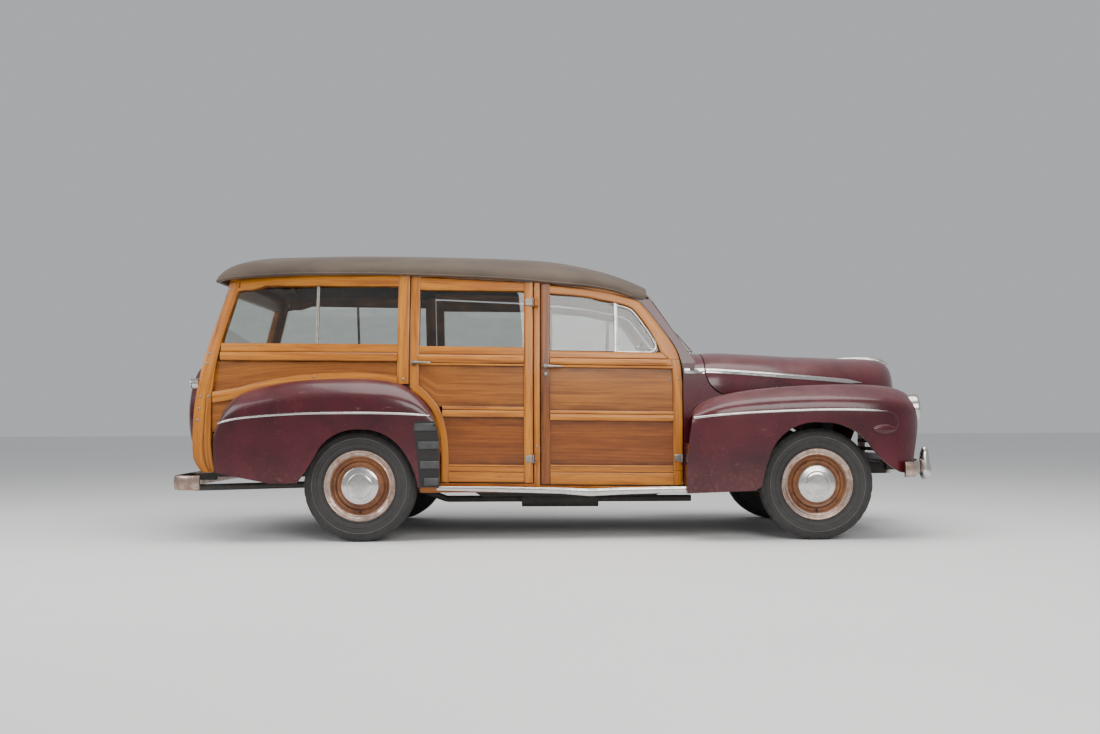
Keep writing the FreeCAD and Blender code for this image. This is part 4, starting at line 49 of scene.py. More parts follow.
# Building pieces from points
def mm(rows):
    """Metres from rows of lengths in millimetres."""
    return [tuple(value / 1000 for value in row) for row in rows]


class Form:
    """Collects the faces of one piece, with the run of the grain and the nearness of a rim at each point."""

    member = 0

    def __init__(self):
        self.points, self.faces, self.runs, self.rims = [], [], [], []

    def add(self, points, faces, runs=None, rims=None):
        first = len(self.points)
        self.points += [tuple(point) for point in points]
        self.faces += [tuple(first + corner for corner in face) for face in faces]
        self.runs += runs or [tuple(point) for point in points]
        self.rims += rims or [0.0] * len(points)

    def piece(self, name, material, body, slot=None, replaces=(), crease=38):
        mesh = bpy.data.meshes.new(name)
        mesh.from_pydata(self.points, [], self.faces)
        work = bmesh.new()
        work.from_mesh(mesh)
        bmesh.ops.recalc_face_normals(work, faces=work.faces)
        work.to_mesh(mesh)
        work.free()
        runs = mesh.attributes.new("grain", "FLOAT_VECTOR", "POINT")
        runs.data.foreach_set("vector", [value for run in self.runs for value in run])
        rims = mesh.attributes.new("rim", "FLOAT", "POINT")
        rims.data.foreach_set("value", self.rims)
        return finish_piece(mesh, name, material, body, replaces, crease)


def finish_piece(mesh, name, material, body, replaces=(), crease=38):
    mesh.shade_smooth()
    mesh.set_sharp_from_angle(angle=math.radians(crease))
    mesh.materials.append(material)
    made = bpy.data.objects.new(name, mesh)
    bpy.context.scene.collection.objects.link(made)
    if replaces:
        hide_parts(*replaces)
    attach(made, body)
    return made


def spline(points, step=0.03):
    """A smooth curve through the points, with a point about every step."""
    points = [Vector(point) for point in points]
    line = []
    for index in range(len(points) - 1):
        near, far = points[index], points[index + 1]
        before = points[index - 1] if index else near * 2 - far
        after = points[index + 2] if index + 2 < len(points) else far * 2 - near
        count = max(1, round((far - near).length / step))
        for part in range(count):
            t = part / count
            line.append(0.5 * (
                2 * near + (far - before) * t + (2 * before - 5 * near + 4 * far - after) * t * t
                + (3 * near - before - 3 * far + after) * t ** 3))
    return line + [points[-1]]


def evenly(low, high, count):
    return [low + (high - low) * index / (count - 1) for index in range(count)]


def flat_section(half, height=0.0, ease=0.003, count=5):
    """A flat face with eased edges, as pairs of share across and height."""
    share = min(0.4, ease / half)
    inner = [(across, height) for across in evenly(share - 1, 1 - share, count)]
    return [(-1, height - ease), (-1 + share * 0.3, height - ease * 0.3)] + inner + [
        (1 - share * 0.3, height - ease * 0.3), (1, height - ease)]


def round_section(height, foot=0.0, count=9, roundness=1.0):
    section = []
    for angle in evenly(math.pi, 0, count):
        section.append((math.cos(angle), foot + height * math.sin(angle) ** roundness))
    return section


def quads(rows, columns, loop=False, around=True, ends=True):
    """Faces between rows of points: loop joins the last row to the first, around joins the ends of a row."""
    faces = []
    for row in range(rows if loop else rows - 1):
        above = (row + 1) % rows
        for column in range(columns if around else columns - 1):
            beside = (column + 1) % columns
            faces.append((row * columns + column, row * columns + beside,
                          above * columns + beside, above * columns + column))
    if ends:
        faces.append(tuple(range(columns))[::-1])
        faces.append(tuple((rows - 1) * columns + column for column in range(columns)))
    return faces


def band(form, one, other, section, depth, lay):
    """A member between two edges, laid on a surface, with its section across and its back a depth below."""
    Form.member += 1
    offset = Vector([Form.member * step for step in GRAIN_STEPS])
    points, runs, rims = [], [], []
    run = 0.0
    width = len(section) + 2
    for index, (start, end) in enumerate(zip(one, other)):
        start, end = Vector(start), Vector(end)
        middle, reach = (start + end) / 2, (end - start) / 2
        if index:
            run += (middle - last).length
        last = middle
        for across, height in section + [(1, -depth), (-1, -depth)]:
            spot = middle + reach * across
            place, normal = lay(spot[0], spot[1])
            points.append(place + normal * height)
            runs.append(tuple(offset + Vector((run, reach.length * across, height))))
            rims.append(abs(across) ** 6)
    form.add(points, quads(len(one), width), runs, rims)


def edges_of(path, half):
    """The two edges of a strip that follows a path at a half-width."""
    path = [Vector(point) for point in path]
    one, other = [], []
    for index, spot in enumerate(path):
        before, after = path[max(index - 1, 0)], path[min(index + 1, len(path) - 1)]
        way = (after - before).normalized()
        across = Vector((-way.y, way.x)) * half
        one.append(spot - across)
        other.append(spot + across)
    return one, other


def strip(form, path, half, section, depth, lay):
    one, other = edges_of(path, half)
    band(form, one, other, section, depth, lay)


def turned(form, profile, centre, out, count=72, wave=None):
    """A piece turned about an axis: pairs of radius and reach along the way out from the centre."""
    centre, out = Vector(centre), Vector(out).normalized()
    side, up = Vector((1, 0, 0)), Vector((0, 0, 1))
    if not out.y:
        side = out.orthogonal().normalized()
        up = out.cross(side)
    points, runs = [], []
    for turn in range(count):
        angle = 2 * math.pi * turn / count
        way = side * math.cos(angle) + up * math.sin(angle)
        for index, (radius, reach) in enumerate(profile):
            if wave:
                radius, reach = wave(index, turn, radius, reach)
            points.append(centre + way * radius + out * reach)
            runs.append((angle * radius, radius, reach))
    form.add(points, quads(count, len(profile), loop=True, around=False, ends=False), runs)


def turned_piece(name, profile, centre, out, count, material, body, slot, replaces=(), crease=38, wave=None):
    form = Form()
    turned(form, profile, centre, out, count, wave)
    form.piece(name, material, body, slot, replaces, crease)


def tube(form, path, radius, count=10, closed=False, squeeze=1.0):
    """A round rod along a path in space; the radius may change along it."""
    path = [Vector(point) for point in path]
    radii = radius if isinstance(radius, (list, tuple)) else [radius] * len(path)
    points, runs = [], []
    run = 0.0
    size = len(path)
    for index, spot in enumerate(path):
        before = path[(index - 1) % size] if closed else path[max(index - 1, 0)]
        after = path[(index + 1) % size] if closed else path[min(index + 1, size - 1)]
        way = (after - before).normalized()
        up = Vector((0, 0, 1)) if abs(way.z) < 0.9 else Vector((1, 0, 0))
        side = way.cross(up).normalized()
        up = side.cross(way)
        run += (spot - before).length if index else 0
        for turn in range(count):
            angle = 2 * math.pi * turn / count
            reach = side * math.cos(angle) + up * math.sin(angle) * squeeze
            points.append(spot + reach * radii[index])
            runs.append((run, angle * radii[index], 0.0))
    form.add(points, quads(size, count, loop=closed, ends=not closed), runs)


def dome(form, place, normal, radius, height, count=16, rings=4):
    """A round bolt head standing on a surface."""
    place, normal = Vector(place), Vector(normal).normalized()
    side = normal.orthogonal().normalized()
    up = normal.cross(side)
    points = []
    for ring in range(rings):
        angle = math.pi / 2 * ring / rings
        for turn in range(count):
            way = 2 * math.pi * turn / count
            points.append(place + (side * math.cos(way) + up * math.sin(way)) * radius * math.cos(angle)
                          + normal * height * math.sin(angle))
    points.append(place + normal * height)
    faces = quads(rings, count, ends=False)
    for turn in range(count):
        faces.append(((rings - 1) * count + turn, (rings - 1) * count + (turn + 1) % count, rings * count))
    faces.append(tuple(range(count))[::-1])
    form.add(points, faces)


# Surfaces that pieces are laid on
DOOR_THICKNESS = 0.045
SIDE_CENTRE_X = -0.8
SIDE_BOW = 14.0
SIDE_LEVELS = mm([(308, 784), (740, 794), (1130, 778), (1790, 675)])
RAKE_SHARE = 0.0143
RAY_START, RAY_MIDDLE = 4.0, 3.2


def side_half(x, z):
    """Half-width of the body side at a length and height."""
    (z0, w0), (z1, w1), (z2, w2), (z3, w3) = SIDE_LEVELS
    if z > z2:
        w = w2 + (w3 - w2) * (z - z2) / (z3 - z2)
    else:
        w = (w0 * (z - z1) * (z - z2) / ((z0 - z1) * (z0 - z2))
             + w1 * (z - z0) * (z - z2) / ((z1 - z0) * (z1 - z2))
             + w2 * (z - z0) * (z - z1) / ((z2 - z0) * (z2 - z1)))
    radius = SIDE_BOW + w - w1
    return w1 - SIDE_BOW + math.sqrt(radius * radius - (x - SIDE_CENTRE_X) ** 2)


def on_side(side):
    """Places a point on the body side, with the way out of it."""
    step = 0.01

    def lay(x, z):
        along = (side_half(x + step, z) - side_half(x - step, z)) / (2 * step)
        up = (side_half(x, z + step) - side_half(x, z - step)) / (2 * step)
        return Vector((x, side * side_half(x, z), z)), Vector((-along, side, -up)).normalized()
    return lay


def tree_of(*names):
    """The surface of CAD nodes, to lay pieces on."""
    points, faces = [], []
    for name in names:
        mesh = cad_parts[name].data
        first = len(points)
        points += [vertex.co.copy() for vertex in mesh.vertices]
        faces += [[first + corner for corner in face.vertices] for face in mesh.polygons]
    return BVHTree.FromPolygons(points, faces)


def on_nodes(way, *names):
    """Places a point where a line along way meets the nodes, with the way out of the surface."""
    tree = tree_of(*names)
    way = Vector(way)
    axis = max(range(3), key=lambda index: abs(way[index]))
    free = [index for index in range(3) if index != axis]

    def lay(first, second):
        start = Vector((0, 0, 0))
        start[free[0]], start[free[1]] = first, second
        start -= way * RAY_START
        place, normal, _, _ = tree.ray_cast(start, way)
        if place is None:
            place, normal, _, _ = tree.find_nearest(start + way * RAY_MIDDLE)
        if normal.dot(way) > 0:
            normal = -normal
        return place, normal
    return lay


def raked(z, x):
    return z - x * RAKE_SHARE


def spread(shares, x0, x1, z0, z1):
    return [(x0 + (x1 - x0) * x, z0 + (z1 - z0) * z) for x, z in shares]


def matched(*lines, step=0.03):
    """Smooth curves through each line, with as many points in each."""
    lines = [spline(line, step) for line in lines]
    count = min(len(line) for line in lines)
    return [[line[round(index * (len(line) - 1) / (count - 1))] for index in range(count)] for line in lines]


def rail(form, lay, x0, x1, low, high, section, depth=DOOR_THICKNESS, step=0.12):
    """A level member that falls with the rake of the body."""
    line = evenly(x0, x1, max(2, round(abs(x1 - x0) / step) + 1))
    band(form, [(x, raked(low, x)) for x in line], [(x, raked(high, x)) for x in line], section, depth, lay)


def post(form, lay, x0, x1, low, high, section, depth=DOOR_THICKNESS, step=0.1):
    """An upright member between two lengths."""
    line = evenly(low, high, max(2, round((high - low) / step) + 1))
    band(form, [(x0, z) for z in line], [(x1, z) for z in line], section, depth, lay)


# Materials
class Shader:
    """A node material round one Principled shader."""

    def __init__(self, name, **values):
        self.material = bpy.data.materials.new(name)
        self.material.use_nodes = True
        self.nodes = self.material.node_tree.nodes
        self.links = self.material.node_tree.links
        self.surface = self.nodes["Principled BSDF"]
        for socket, value in values.items():
            self.surface.inputs[socket.replace("_", " ")].default_value = value

    def feed(self, socket, value):
        """Links another socket or sets a plain value."""
        if isinstance(value, bpy.types.NodeSocket):
            self.links.new(value, socket)
        else:
            socket.default_value = (*value, 1) if socket.type == "RGBA" else value

    def node(self, kind, inputs=None, **settings):
        made = self.nodes.new("ShaderNode" + kind)
        for name, value in settings.items():
            setattr(made, name, value)
        for name, value in (inputs or {}).items():
            self.feed(made.inputs[name], value)
        return made

    def place(self, source="Object", scale=(1, 1, 1)):
        if source == "grain":
            spot = self.node("Attribute", attribute_name="grain").outputs["Vector"]
        else:
            spot = self.node("TexCoord").outputs[source]
        return self.node("Mapping", {"Vector": spot, "Scale": scale}).outputs["Vector"]

    def noise(self, place, scale, detail=4.0, roughness=0.5, distortion=0.0):
        return self.node("TexNoise", {"Vector": place, "Scale": scale, "Detail": detail,
                                      "Roughness": roughness, "Distortion": distortion}).outputs["Fac"]

    def ramp(self, value, *stops):
        made = self.node("ValToRGB", {"Fac": value})
        line = made.color_ramp
        while len(line.elements) < len(stops):
            line.elements.new(0.5)
        for element, (position, colour) in zip(line.elements, stops):
            element.position = position
            element.color = (*colour, 1) if isinstance(colour, tuple) else (colour, colour, colour, 1)
        return made.outputs["Color"]

    def times(self, first, second, operation="MULTIPLY"):
        made = self.node("Math", operation=operation)
        self.feed(made.inputs[0], first)
        self.feed(made.inputs[1], second)
        return made.outputs[0]

    def plus(self, first, second):
        return self.times(first, second, "ADD")

    def mix(self, factor, first, second, blend="MIX"):
        made = self.node("Mix", data_type="RGBA", blend_type=blend)
        for index, value in ((0, factor), (6, first), (7, second)):
            self.feed(made.inputs[index], value)
        return made.outputs[2]

    def facing_up(self, low, high):
        """How far a surface faces up in its own frame, from 0 to 1."""
        normal = self.node("TexCoord").outputs["Normal"]
        up = self.node("SeparateXYZ", {"Vector": normal}).outputs["Z"]
        return self.node("MapRange", {"Value": up, "From Min": low, "From Max": high}).outputs["Result"]

    def colour(self, socket):
        self.links.new(socket, self.surface.inputs["Base Color"])

    def rough(self, value, low, high):
        made = self.node("MapRange", {"Value": value, "To Min": low, "To Max": high})
        self.links.new(made.outputs["Result"], self.surface.inputs["Roughness"])

    def bump(self, height, strength, distance):
        made = self.node("Bump", {"Height": height, "Strength": strength, "Distance": distance})
        self.links.new(made.outputs["Normal"], self.surface.inputs["Normal"])


def wood(name, light, middle, dark, source="grain", stretch=(1.4, 26, 26), mottle=0.35, wander=0.9):
    """Varnished wood: long grain, fine pores, slow mottling and dark rims where members meet, partly worn
    varnish and partly painted shade.
    """
    made = Shader(name, Coat_Weight=0.22, Coat_Roughness=0.18, Specular_IOR_Level=0.35)
    along = made.place(source, stretch)
    grain = made.noise(along, 1.0, 6.0, 0.62, wander)
    colour = made.ramp(grain, (0.30, dark), (0.50, middle), (0.72, light))
    fine = tuple(value * share for value, share in zip(stretch, (6, 14, 14)))
    pores = made.noise(made.place(source, fine), 1.0, 3.0, 0.7)
    pore_mask = made.ramp(pores, (0.34, (0.55, 0.5, 0.45)), (0.50, 1))
    colour = made.mix(0.7, colour, pore_mask, "MULTIPLY")
    patches = made.noise(made.place(source, (1.3, 7.0, 7.0)), 1.0, 4.0, 0.6, 0.6)
    patch_mask = made.ramp(patches, (0.32, (0.60, 0.52, 0.46)), (0.58, 1), (0.8, 1.0))
    colour = made.mix(mottle, colour, patch_mask, "MULTIPLY")
    # Dark rims at the edges of each member, broken by noise: partly worn varnish, partly painted shade in the
    # joints between members.
    rim = made.node("Attribute", attribute_name="rim").outputs["Fac"]
    broken = made.ramp(made.noise(made.place(source, (6, 6, 6)), 1.0), (0.35, 0.25), (0.65, 1))
    rim_wear_and_shade = made.times(rim, broken)
    colour = made.mix(made.times(rim_wear_and_shade, 0.75), colour, tuple(value * 0.30 for value in dark))
    made.colour(colour)
    made.rough(pores, 0.30, 0.46)
    made.bump(made.plus(grain, made.times(pores, 0.8)), 0.22, 0.0012)
    return made.material


def paint(name):
    """Old maroon enamel: chalky where it faces up, deeper on the sides, scuffed and dusted low down."""
    made = Shader(name, Coat_Weight=0.35, Coat_Roughness=0.12, Specular_IOR_Level=0.4)
    place = made.place()
    cloud = made.noise(place, 3.2, 5.0, 0.6, 0.4)
    base = made.ramp(cloud, (0.30, (0.030, 0.0022, 0.0050)), (0.52, (0.058, 0.0036, 0.0088)),
                     (0.75, (0.085, 0.0070, 0.0150)))
    chalk = made.ramp(made.noise(place, 7.0, 6.0, 0.65), (0.3, (0.085, 0.018, 0.024)),
                      (0.7, (0.150, 0.050, 0.054)))
    up = made.facing_up(0.15, 0.95)
    faded = made.times(up, made.ramp(cloud, (0.25, 0.45), (0.7, 0.95)))
    colour = made.mix(faded, base, chalk)
    scuff = made.ramp(made.noise(made.place("Object", (9, 9, 26)), 1.0, 8.0, 0.75, 0.3),
                      (0.63, 0), (0.70, 0.55))
    colour = made.mix(scuff, colour, (0.24, 0.105, 0.098))
    height = made.node("SeparateXYZ", {"Vector": made.node("TexCoord").outputs["Object"]}).outputs["Z"]
    low = made.node("MapRange", {"Value": height, "From Min": 0.52, "From Max": 0.30}).outputs["Result"]
    specks = made.ramp(made.noise(place, 46.0, 6.0, 0.7), (0.55, 0), (0.62, 1))
    rust = made.times(low, specks)
    colour = made.mix(made.times(rust, 0.8), colour, (0.13, 0.047, 0.022))
    made.colour(colour)
    dull = made.plus(made.times(faded, 0.35), made.times(cloud, 0.25))
    made.rough(dull, 0.22, 0.62)
    made.bump(made.noise(place, 55.0, 5.0, 0.6), 0.05, 0.001)
    return made.material


def metal(name, tone, stain, roughness, amount=0.4, scale=14.0):
    """Plated metal with cloudy wear and brown stains."""
    made = Shader(name, Metallic=1.0)
    place = made.place()
    wear = made.noise(place, scale, 7.0, 0.68, 0.4)
    mask = made.ramp(wear, (0.50 - amount * 0.18, 0), (0.74 - amount * 0.1, 1))
    fine = made.noise(place, scale * 9, 4.0, 0.6)
    colour = made.mix(made.times(mask, amount), tone, stain)
    made.colour(made.mix(made.times(fine, 0.16), colour, tuple(value * 0.6 for value in tone)))
    made.rough(made.plus(made.times(mask, 0.6), made.times(fine, 0.3)),
               roughness, roughness + 0.35)
    made.bump(fine, 0.04, 0.0006)
    return made.material


def plain(name, tones, rough_range, scale=40.0, bump=0.15, distance=0.001, stretch=(1, 1, 1), **values):
    """A matt material with two tones in fine cloud."""
    made = Shader(name, **values)
    place = made.place("Object", stretch)
    cloud = made.noise(place, scale, 6.0, 0.65)
    broad = made.noise(place, scale * 0.12, 3.0, 0.6)
    mixed = made.plus(made.times(cloud, 0.55), made.times(broad, 0.45))
    made.colour(made.ramp(mixed, (0.36, tones[0]), (0.64, tones[1])))
    made.rough(cloud, *rough_range)
    made.bump(cloud, bump, distance)
    return made.material


def weave(name, dark, light, threads, sheen):
    """Coated cloth: crossed threads and slow fading."""
    made = Shader(name, Sheen_Weight=sheen, Sheen_Roughness=0.5, Specular_IOR_Level=0.35)
    place = made.place()
    heights = []
    for direction in ("X", "Y"):
        threaded = made.node("TexWave", {"Vector": place, "Scale": threads, "Distortion": 0.6, "Detail": 2.0},
                             bands_direction=direction)
        heights.append(threaded.outputs["Fac"])
    crossed = made.times(*heights)
    fade = made.noise(made.place("Object", (1.0, 3.0, 3.0)), 1.6, 6.0, 0.62, 0.5)
    colour = made.ramp(fade, (0.32, dark), (0.68, light))
    colour = made.mix(0.35, colour, made.ramp(crossed, (0.1, 0.6), (0.6, 1)), "MULTIPLY")
    made.colour(colour)
    made.rough(fade, 0.48, 0.72)
    made.bump(crossed, 0.25, 0.0008)
    return made.material


def clear(name, tint, roughness=0.0):
    made = Shader(name, Transmission_Weight=1.0, IOR=1.45)
    smear = made.noise(made.place("Object", (2, 2, 5)), 3.0, 5.0, 0.6)
    made.colour(made.ramp(smear, (0.3, tint), (0.7, tuple(min(1.0, value * 1.08) for value in tint))))
    made.rough(made.ramp(smear, (0.55, 0), (0.9, 0.3)), roughness, roughness + 0.06)
    return made.material


GRAIN, FINE_GRAIN = (1.4, 26, 26), (2.0, 62, 62)
RAIL_TONES = (0.50, 0.180, 0.018), (0.36, 0.108, 0.009), (0.19, 0.048, 0.005)
TAIL_TONES = (0.55, 0.205, 0.022), (0.41, 0.128, 0.011), (0.21, 0.054, 0.005)
GOLD = wood("frame_wood", (0.62, 0.250, 0.026), (0.49, 0.165, 0.012), (0.24, 0.062, 0.005))
BROWN = wood("stile_wood", (0.34, 0.115, 0.024), (0.235, 0.068, 0.012), (0.11, 0.028, 0.005))
PANEL = wood("panel_wood", (0.40, 0.150, 0.020), (0.305, 0.096, 0.010), (0.18, 0.050, 0.005),
             stretch=FINE_GRAIN, mottle=0.45, wander=0.3)
PANEL_LOW = wood("low_panel_wood", (0.31, 0.096, 0.012), (0.225, 0.060, 0.006), (0.125, 0.030, 0.003),
                 stretch=FINE_GRAIN, mottle=0.5, wander=0.3)
GOLD_LONG = wood("rail_wood", *RAIL_TONES, "Object", GRAIN)
GOLD_ACROSS = wood("tail_wood", *TAIL_TONES, "Object", (26, 1.4, 26))
MAROON = paint("maroon_paint")
CHROME = metal("bright_metal_finish", (0.66, 0.65, 0.63), (0.26, 0.18, 0.13), 0.10, 0.40)
TIRED = metal("tired_chrome", (0.52, 0.42, 0.37), (0.24, 0.115, 0.065), 0.18, 0.85, 22.0)
STEEL = metal("handle_metal", (0.34, 0.32, 0.29), (0.12, 0.085, 0.06), 0.26, 0.6, 30.0)
RUST = plain("rim_paint", ((0.085, 0.026, 0.013), (0.25, 0.100, 0.034)), (0.32, 0.55), 22.0)
BLACK = plain("chassis_paint", ((0.008, 0.007, 0.006), (0.026, 0.021, 0.017)), (0.45, 0.75), 18.0)
CAST = plain("cast_iron", ((0.028, 0.026, 0.024), (0.065, 0.058, 0.050)), (0.55, 0.8), 30.0, 0.3)
RUBBER = plain("tyre_rubber", ((0.020, 0.019, 0.019), (0.042, 0.040, 0.039)), (0.62, 0.82), 30.0, 0.12)
GUARD = plain("guard_rubber_finish", ((0.022, 0.023, 0.024), (0.060, 0.062, 0.064)), (0.36, 0.55), 26.0)
HIDE = plain("seat_hide_finish", ((0.22, 0.135, 0.080), (0.36, 0.245, 0.155)), (0.42, 0.62), 60.0, 0.35,
             0.0012)
TRIM = plain("dash_paint", ((0.17, 0.115, 0.060), (0.24, 0.165, 0.090)), (0.25, 0.40), 12.0, 0.05)
IVORY = plain("rim_plastic", ((0.055, 0.028, 0.020), (0.11, 0.055, 0.034)), (0.18, 0.3), 15.0, 0.04)
FLOOR_MAT = plain("floor_lining", ((0.035, 0.032, 0.029), (0.075, 0.066, 0.055)), (0.75, 0.95), 90.0, 0.5)
CLOTH = weave("roof_fabric", (0.058, 0.040, 0.028), (0.118, 0.086, 0.062), 260.0, 0.12)
GLASS = clear("window_glass", (0.80, 0.83, 0.80))
LENS = clear("lamp_glass", (0.95, 0.95, 0.92), 0.05)
RED = plain("tail_lens", ((0.26, 0.006, 0.005), (0.38, 0.010, 0.007)), (0.10, 0.20), 30.0, 0.03,
            Coat_Weight=0.8)
CREAM = plain("dial_paint", ((0.36, 0.34, 0.31), (0.52, 0.50, 0.46)), (0.5, 0.7), 60.0)
LINE = plain("tyre_line_paint", ((0.085, 0.080, 0.074), (0.17, 0.160, 0.145)), (0.5, 0.7), 60.0)
DARK = plain("seal_rubber", ((0.006, 0.006, 0.006), (0.016, 0.015, 0.014)), (0.6, 0.8), 50.0)

# Finishes of the solids that show as they are
for nodes, finish in (
        ("side_frame_left side_frame_right", GOLD_LONG),
        ("rear_header tail_valance tailgate liftgate", GOLD_ACROSS),
        ("cowl hood front_fenders rear_fenders nose_apron spare_wheel", MAROON), ("spare_carrier", STEEL),
        ("grille sill_mouldings headlamps tail_lamps", CHROME), ("front_bumper rear_bumper", TIRED),
        ("chassis_frame cross_members fuel_tank radiator", BLACK), ("floor_pan", FLOOR_MAT),
        ("front_axle rear_axle knuckle_left knuckle_right tie_rod engine exhaust", CAST),
        ("stone_guards", DARK), ("dashboard", TRIM), ("steering_wheel", IVORY),
        ("fixed_glass liftgate_glass front_door_glass_left front_door_glass_right", GLASS),
        ("rear_door_glass_left rear_door_glass_right", GLASS)):
    for name in nodes.split():
        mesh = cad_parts[name].data
        mesh.materials.clear()
        mesh.materials.append(finish)

# Woodwork: boards, rounded rails and sunk panels, each finished as the pieces of one body
PANEL_RECESS = 0.013
FRAME_FACE = flat_section(0.03, 0.0015)
STILE_FACE = flat_section(0.029, 0.0015)
FACES = {"roll": round_section(0.013, 0.0, 9, 0.7), "bead": round_section(0.007, 0.0, 9, 0.7),
         "edge": flat_section(0.017, 0.001), "corner": flat_section(0.024),
         "front_foot": flat_section(0.039, 0.006, 0.006), "rear_foot": flat_section(0.032, 0.006, 0.006)}
WOODS = {"frame": GOLD, "stile": BROWN, "panel": PANEL, "low_panel": PANEL_LOW}


def mouldings(form, lay, x0, x1, levels):
    """Stacked rails: low and high edge in millimetres, and a face by name or else flat."""
    for low, high, kind in levels:
        low, high = low / 1000, high / 1000
        rail(form, lay, x0, x1, low, high, FACES.get(kind) or flat_section((high - low) / 2))


def panel(form, lay, stations, recess=PANEL_RECESS):
    """A thin board between two curved edges: stations hold a length, a low edge and a high edge."""
    section = [(across, -recess) for across in evenly(-1, 1, 9)]
    band(form, [(x, low) for x, low, high in stations], [(x, high) for x, low, high in stations], section,
         DOOR_THICKNESS * 0.8, lay)


def board(x0, x1, low, high, count=7):
    return [(x, raked(low, x), raked(high, x)) for x in evenly(x0, x1, count)]


def woodwork(name, word, body, solid, **forms):
    for part, form in forms.items():
        solids = (solid,) if part == "frame" else ()
        form.piece(f"{name}_{part}_{word}", WOODS[part], body, "body_wood", solids)


# Doors: the outlines follow the same shares as the solids
STILE_WIDTH = 0.058
STILE_JOINT = 0.0585
FRONT_DOOR = (-0.110, 0.798, 0.356, 1.641)
FRONT_RAIL_X, FRONT_PANEL_X, FRONT_WINDOW_X = 0.7375, 0.738, 0.700
FRONT_HOOP_OUTER_SHARES = [(0.064, 0.995), (0.319, 0.977), (0.47, 0.96), (0.595, 0.938), (0.672, 0.922),
    (0.721, 0.899), (0.837, 0.796), (0.931, 0.703), (0.968, 0.655), (0.982, 0.623)]
FRONT_HOOP_INNER_SHARES = [(0.064, 0.953), (0.319, 0.939), (0.42, 0.923), (0.53, 0.908), (0.612, 0.893),
    (0.672, 0.865), (0.771, 0.771), (0.829, 0.695), (0.851, 0.655), (0.905, 0.623)]
FRONT_STILE_OUTER_SHARES = [(0.982, 0.621), (0.992, 0.575), (1.0, 0.5), (1.0, 0.28), (1.0, 0.064)]
FRONT_STILE_INNER_SHARES = [(0.918, 0.621), (0.928, 0.575), (0.934, 0.5), (0.934, 0.28), (0.934, 0.064)]
VENT_SHARES = [(0.5, 0.905), (0.62, 0.883), (0.672, 0.853), (0.756, 0.771), (0.812, 0.7), (0.812, 0.672),
               (0.775, 0.657)]
# Levels are a low edge, a high edge and a face
FRONT_LEVELS = ((1103, 1119, "bead"), (807, 829, "bead"), (764, 806, "roll"), (470, 481, "bead"))
FRONT_BELT_LEVELS = ((1164, 1208, "flat"), (1121, 1162, "roll"))
FRONT_CORNER_LEVELS = ((1121, 1170, "corner"),)
FRONT_FOOT_LEVELS = ((436, 469.5, "edge"), (356, 435, "front_foot"))
FRONT_PANEL = 0.828, 1.104
FRONT_LOW_PANEL = 0.480, 0.766
FRONT_KICK = 0.739, 0.798, 0.346, 0.436
REAR_DOOR = (-0.9434, -0.1614, 0.366, 1.677)
REAR_CURVE_OUTER_SHARES = [(0.0, 0.452), (0.075, 0.424), (0.183, 0.351), (0.238, 0.25), (0.2545, 0.147),
    (0.2545, 0.01)]
REAR_CURVE_INNER_SHARES = [(0.074, 0.478), (0.125, 0.452), (0.237, 0.369), (0.296, 0.26), (0.315, 0.147),
    (0.315, 0.004)]
REAR_BELT_LEVELS = ((1178, 1229, "flat"), (1122, 1176, "roll"), (1108, 1120, "bead"))
REAR_MIDDLE_LEVELS = ((826, 848, "bead"), (780, 824, "roll"))
REAR_FOOT_LEVELS = ((467, 478, "bead"), (432, 466.5, "edge"), (366, 431, "rear_foot"))
REAR_MIDDLE_X, REAR_FOOT_X, REAR_PANEL_X = -0.735, -0.697, -0.742
REAR_REAR_POST, REAR_FRONT_POST_TOP = (0.970, 1.688), 1.652
REAR_WINDOW_Z, REAR_TOP_Z = 1.594, (1.687, 1.6545)
REAR_PANEL_Z, REAR_PANEL_TOP = 0.846, 1.110
REAR_LOW_PANEL = 0.476, 0.784
REAR_PANEL_LOW = mm([(-885, 990), (-860, 966), (-830, 930), (-800, 892), (-770, 856)])

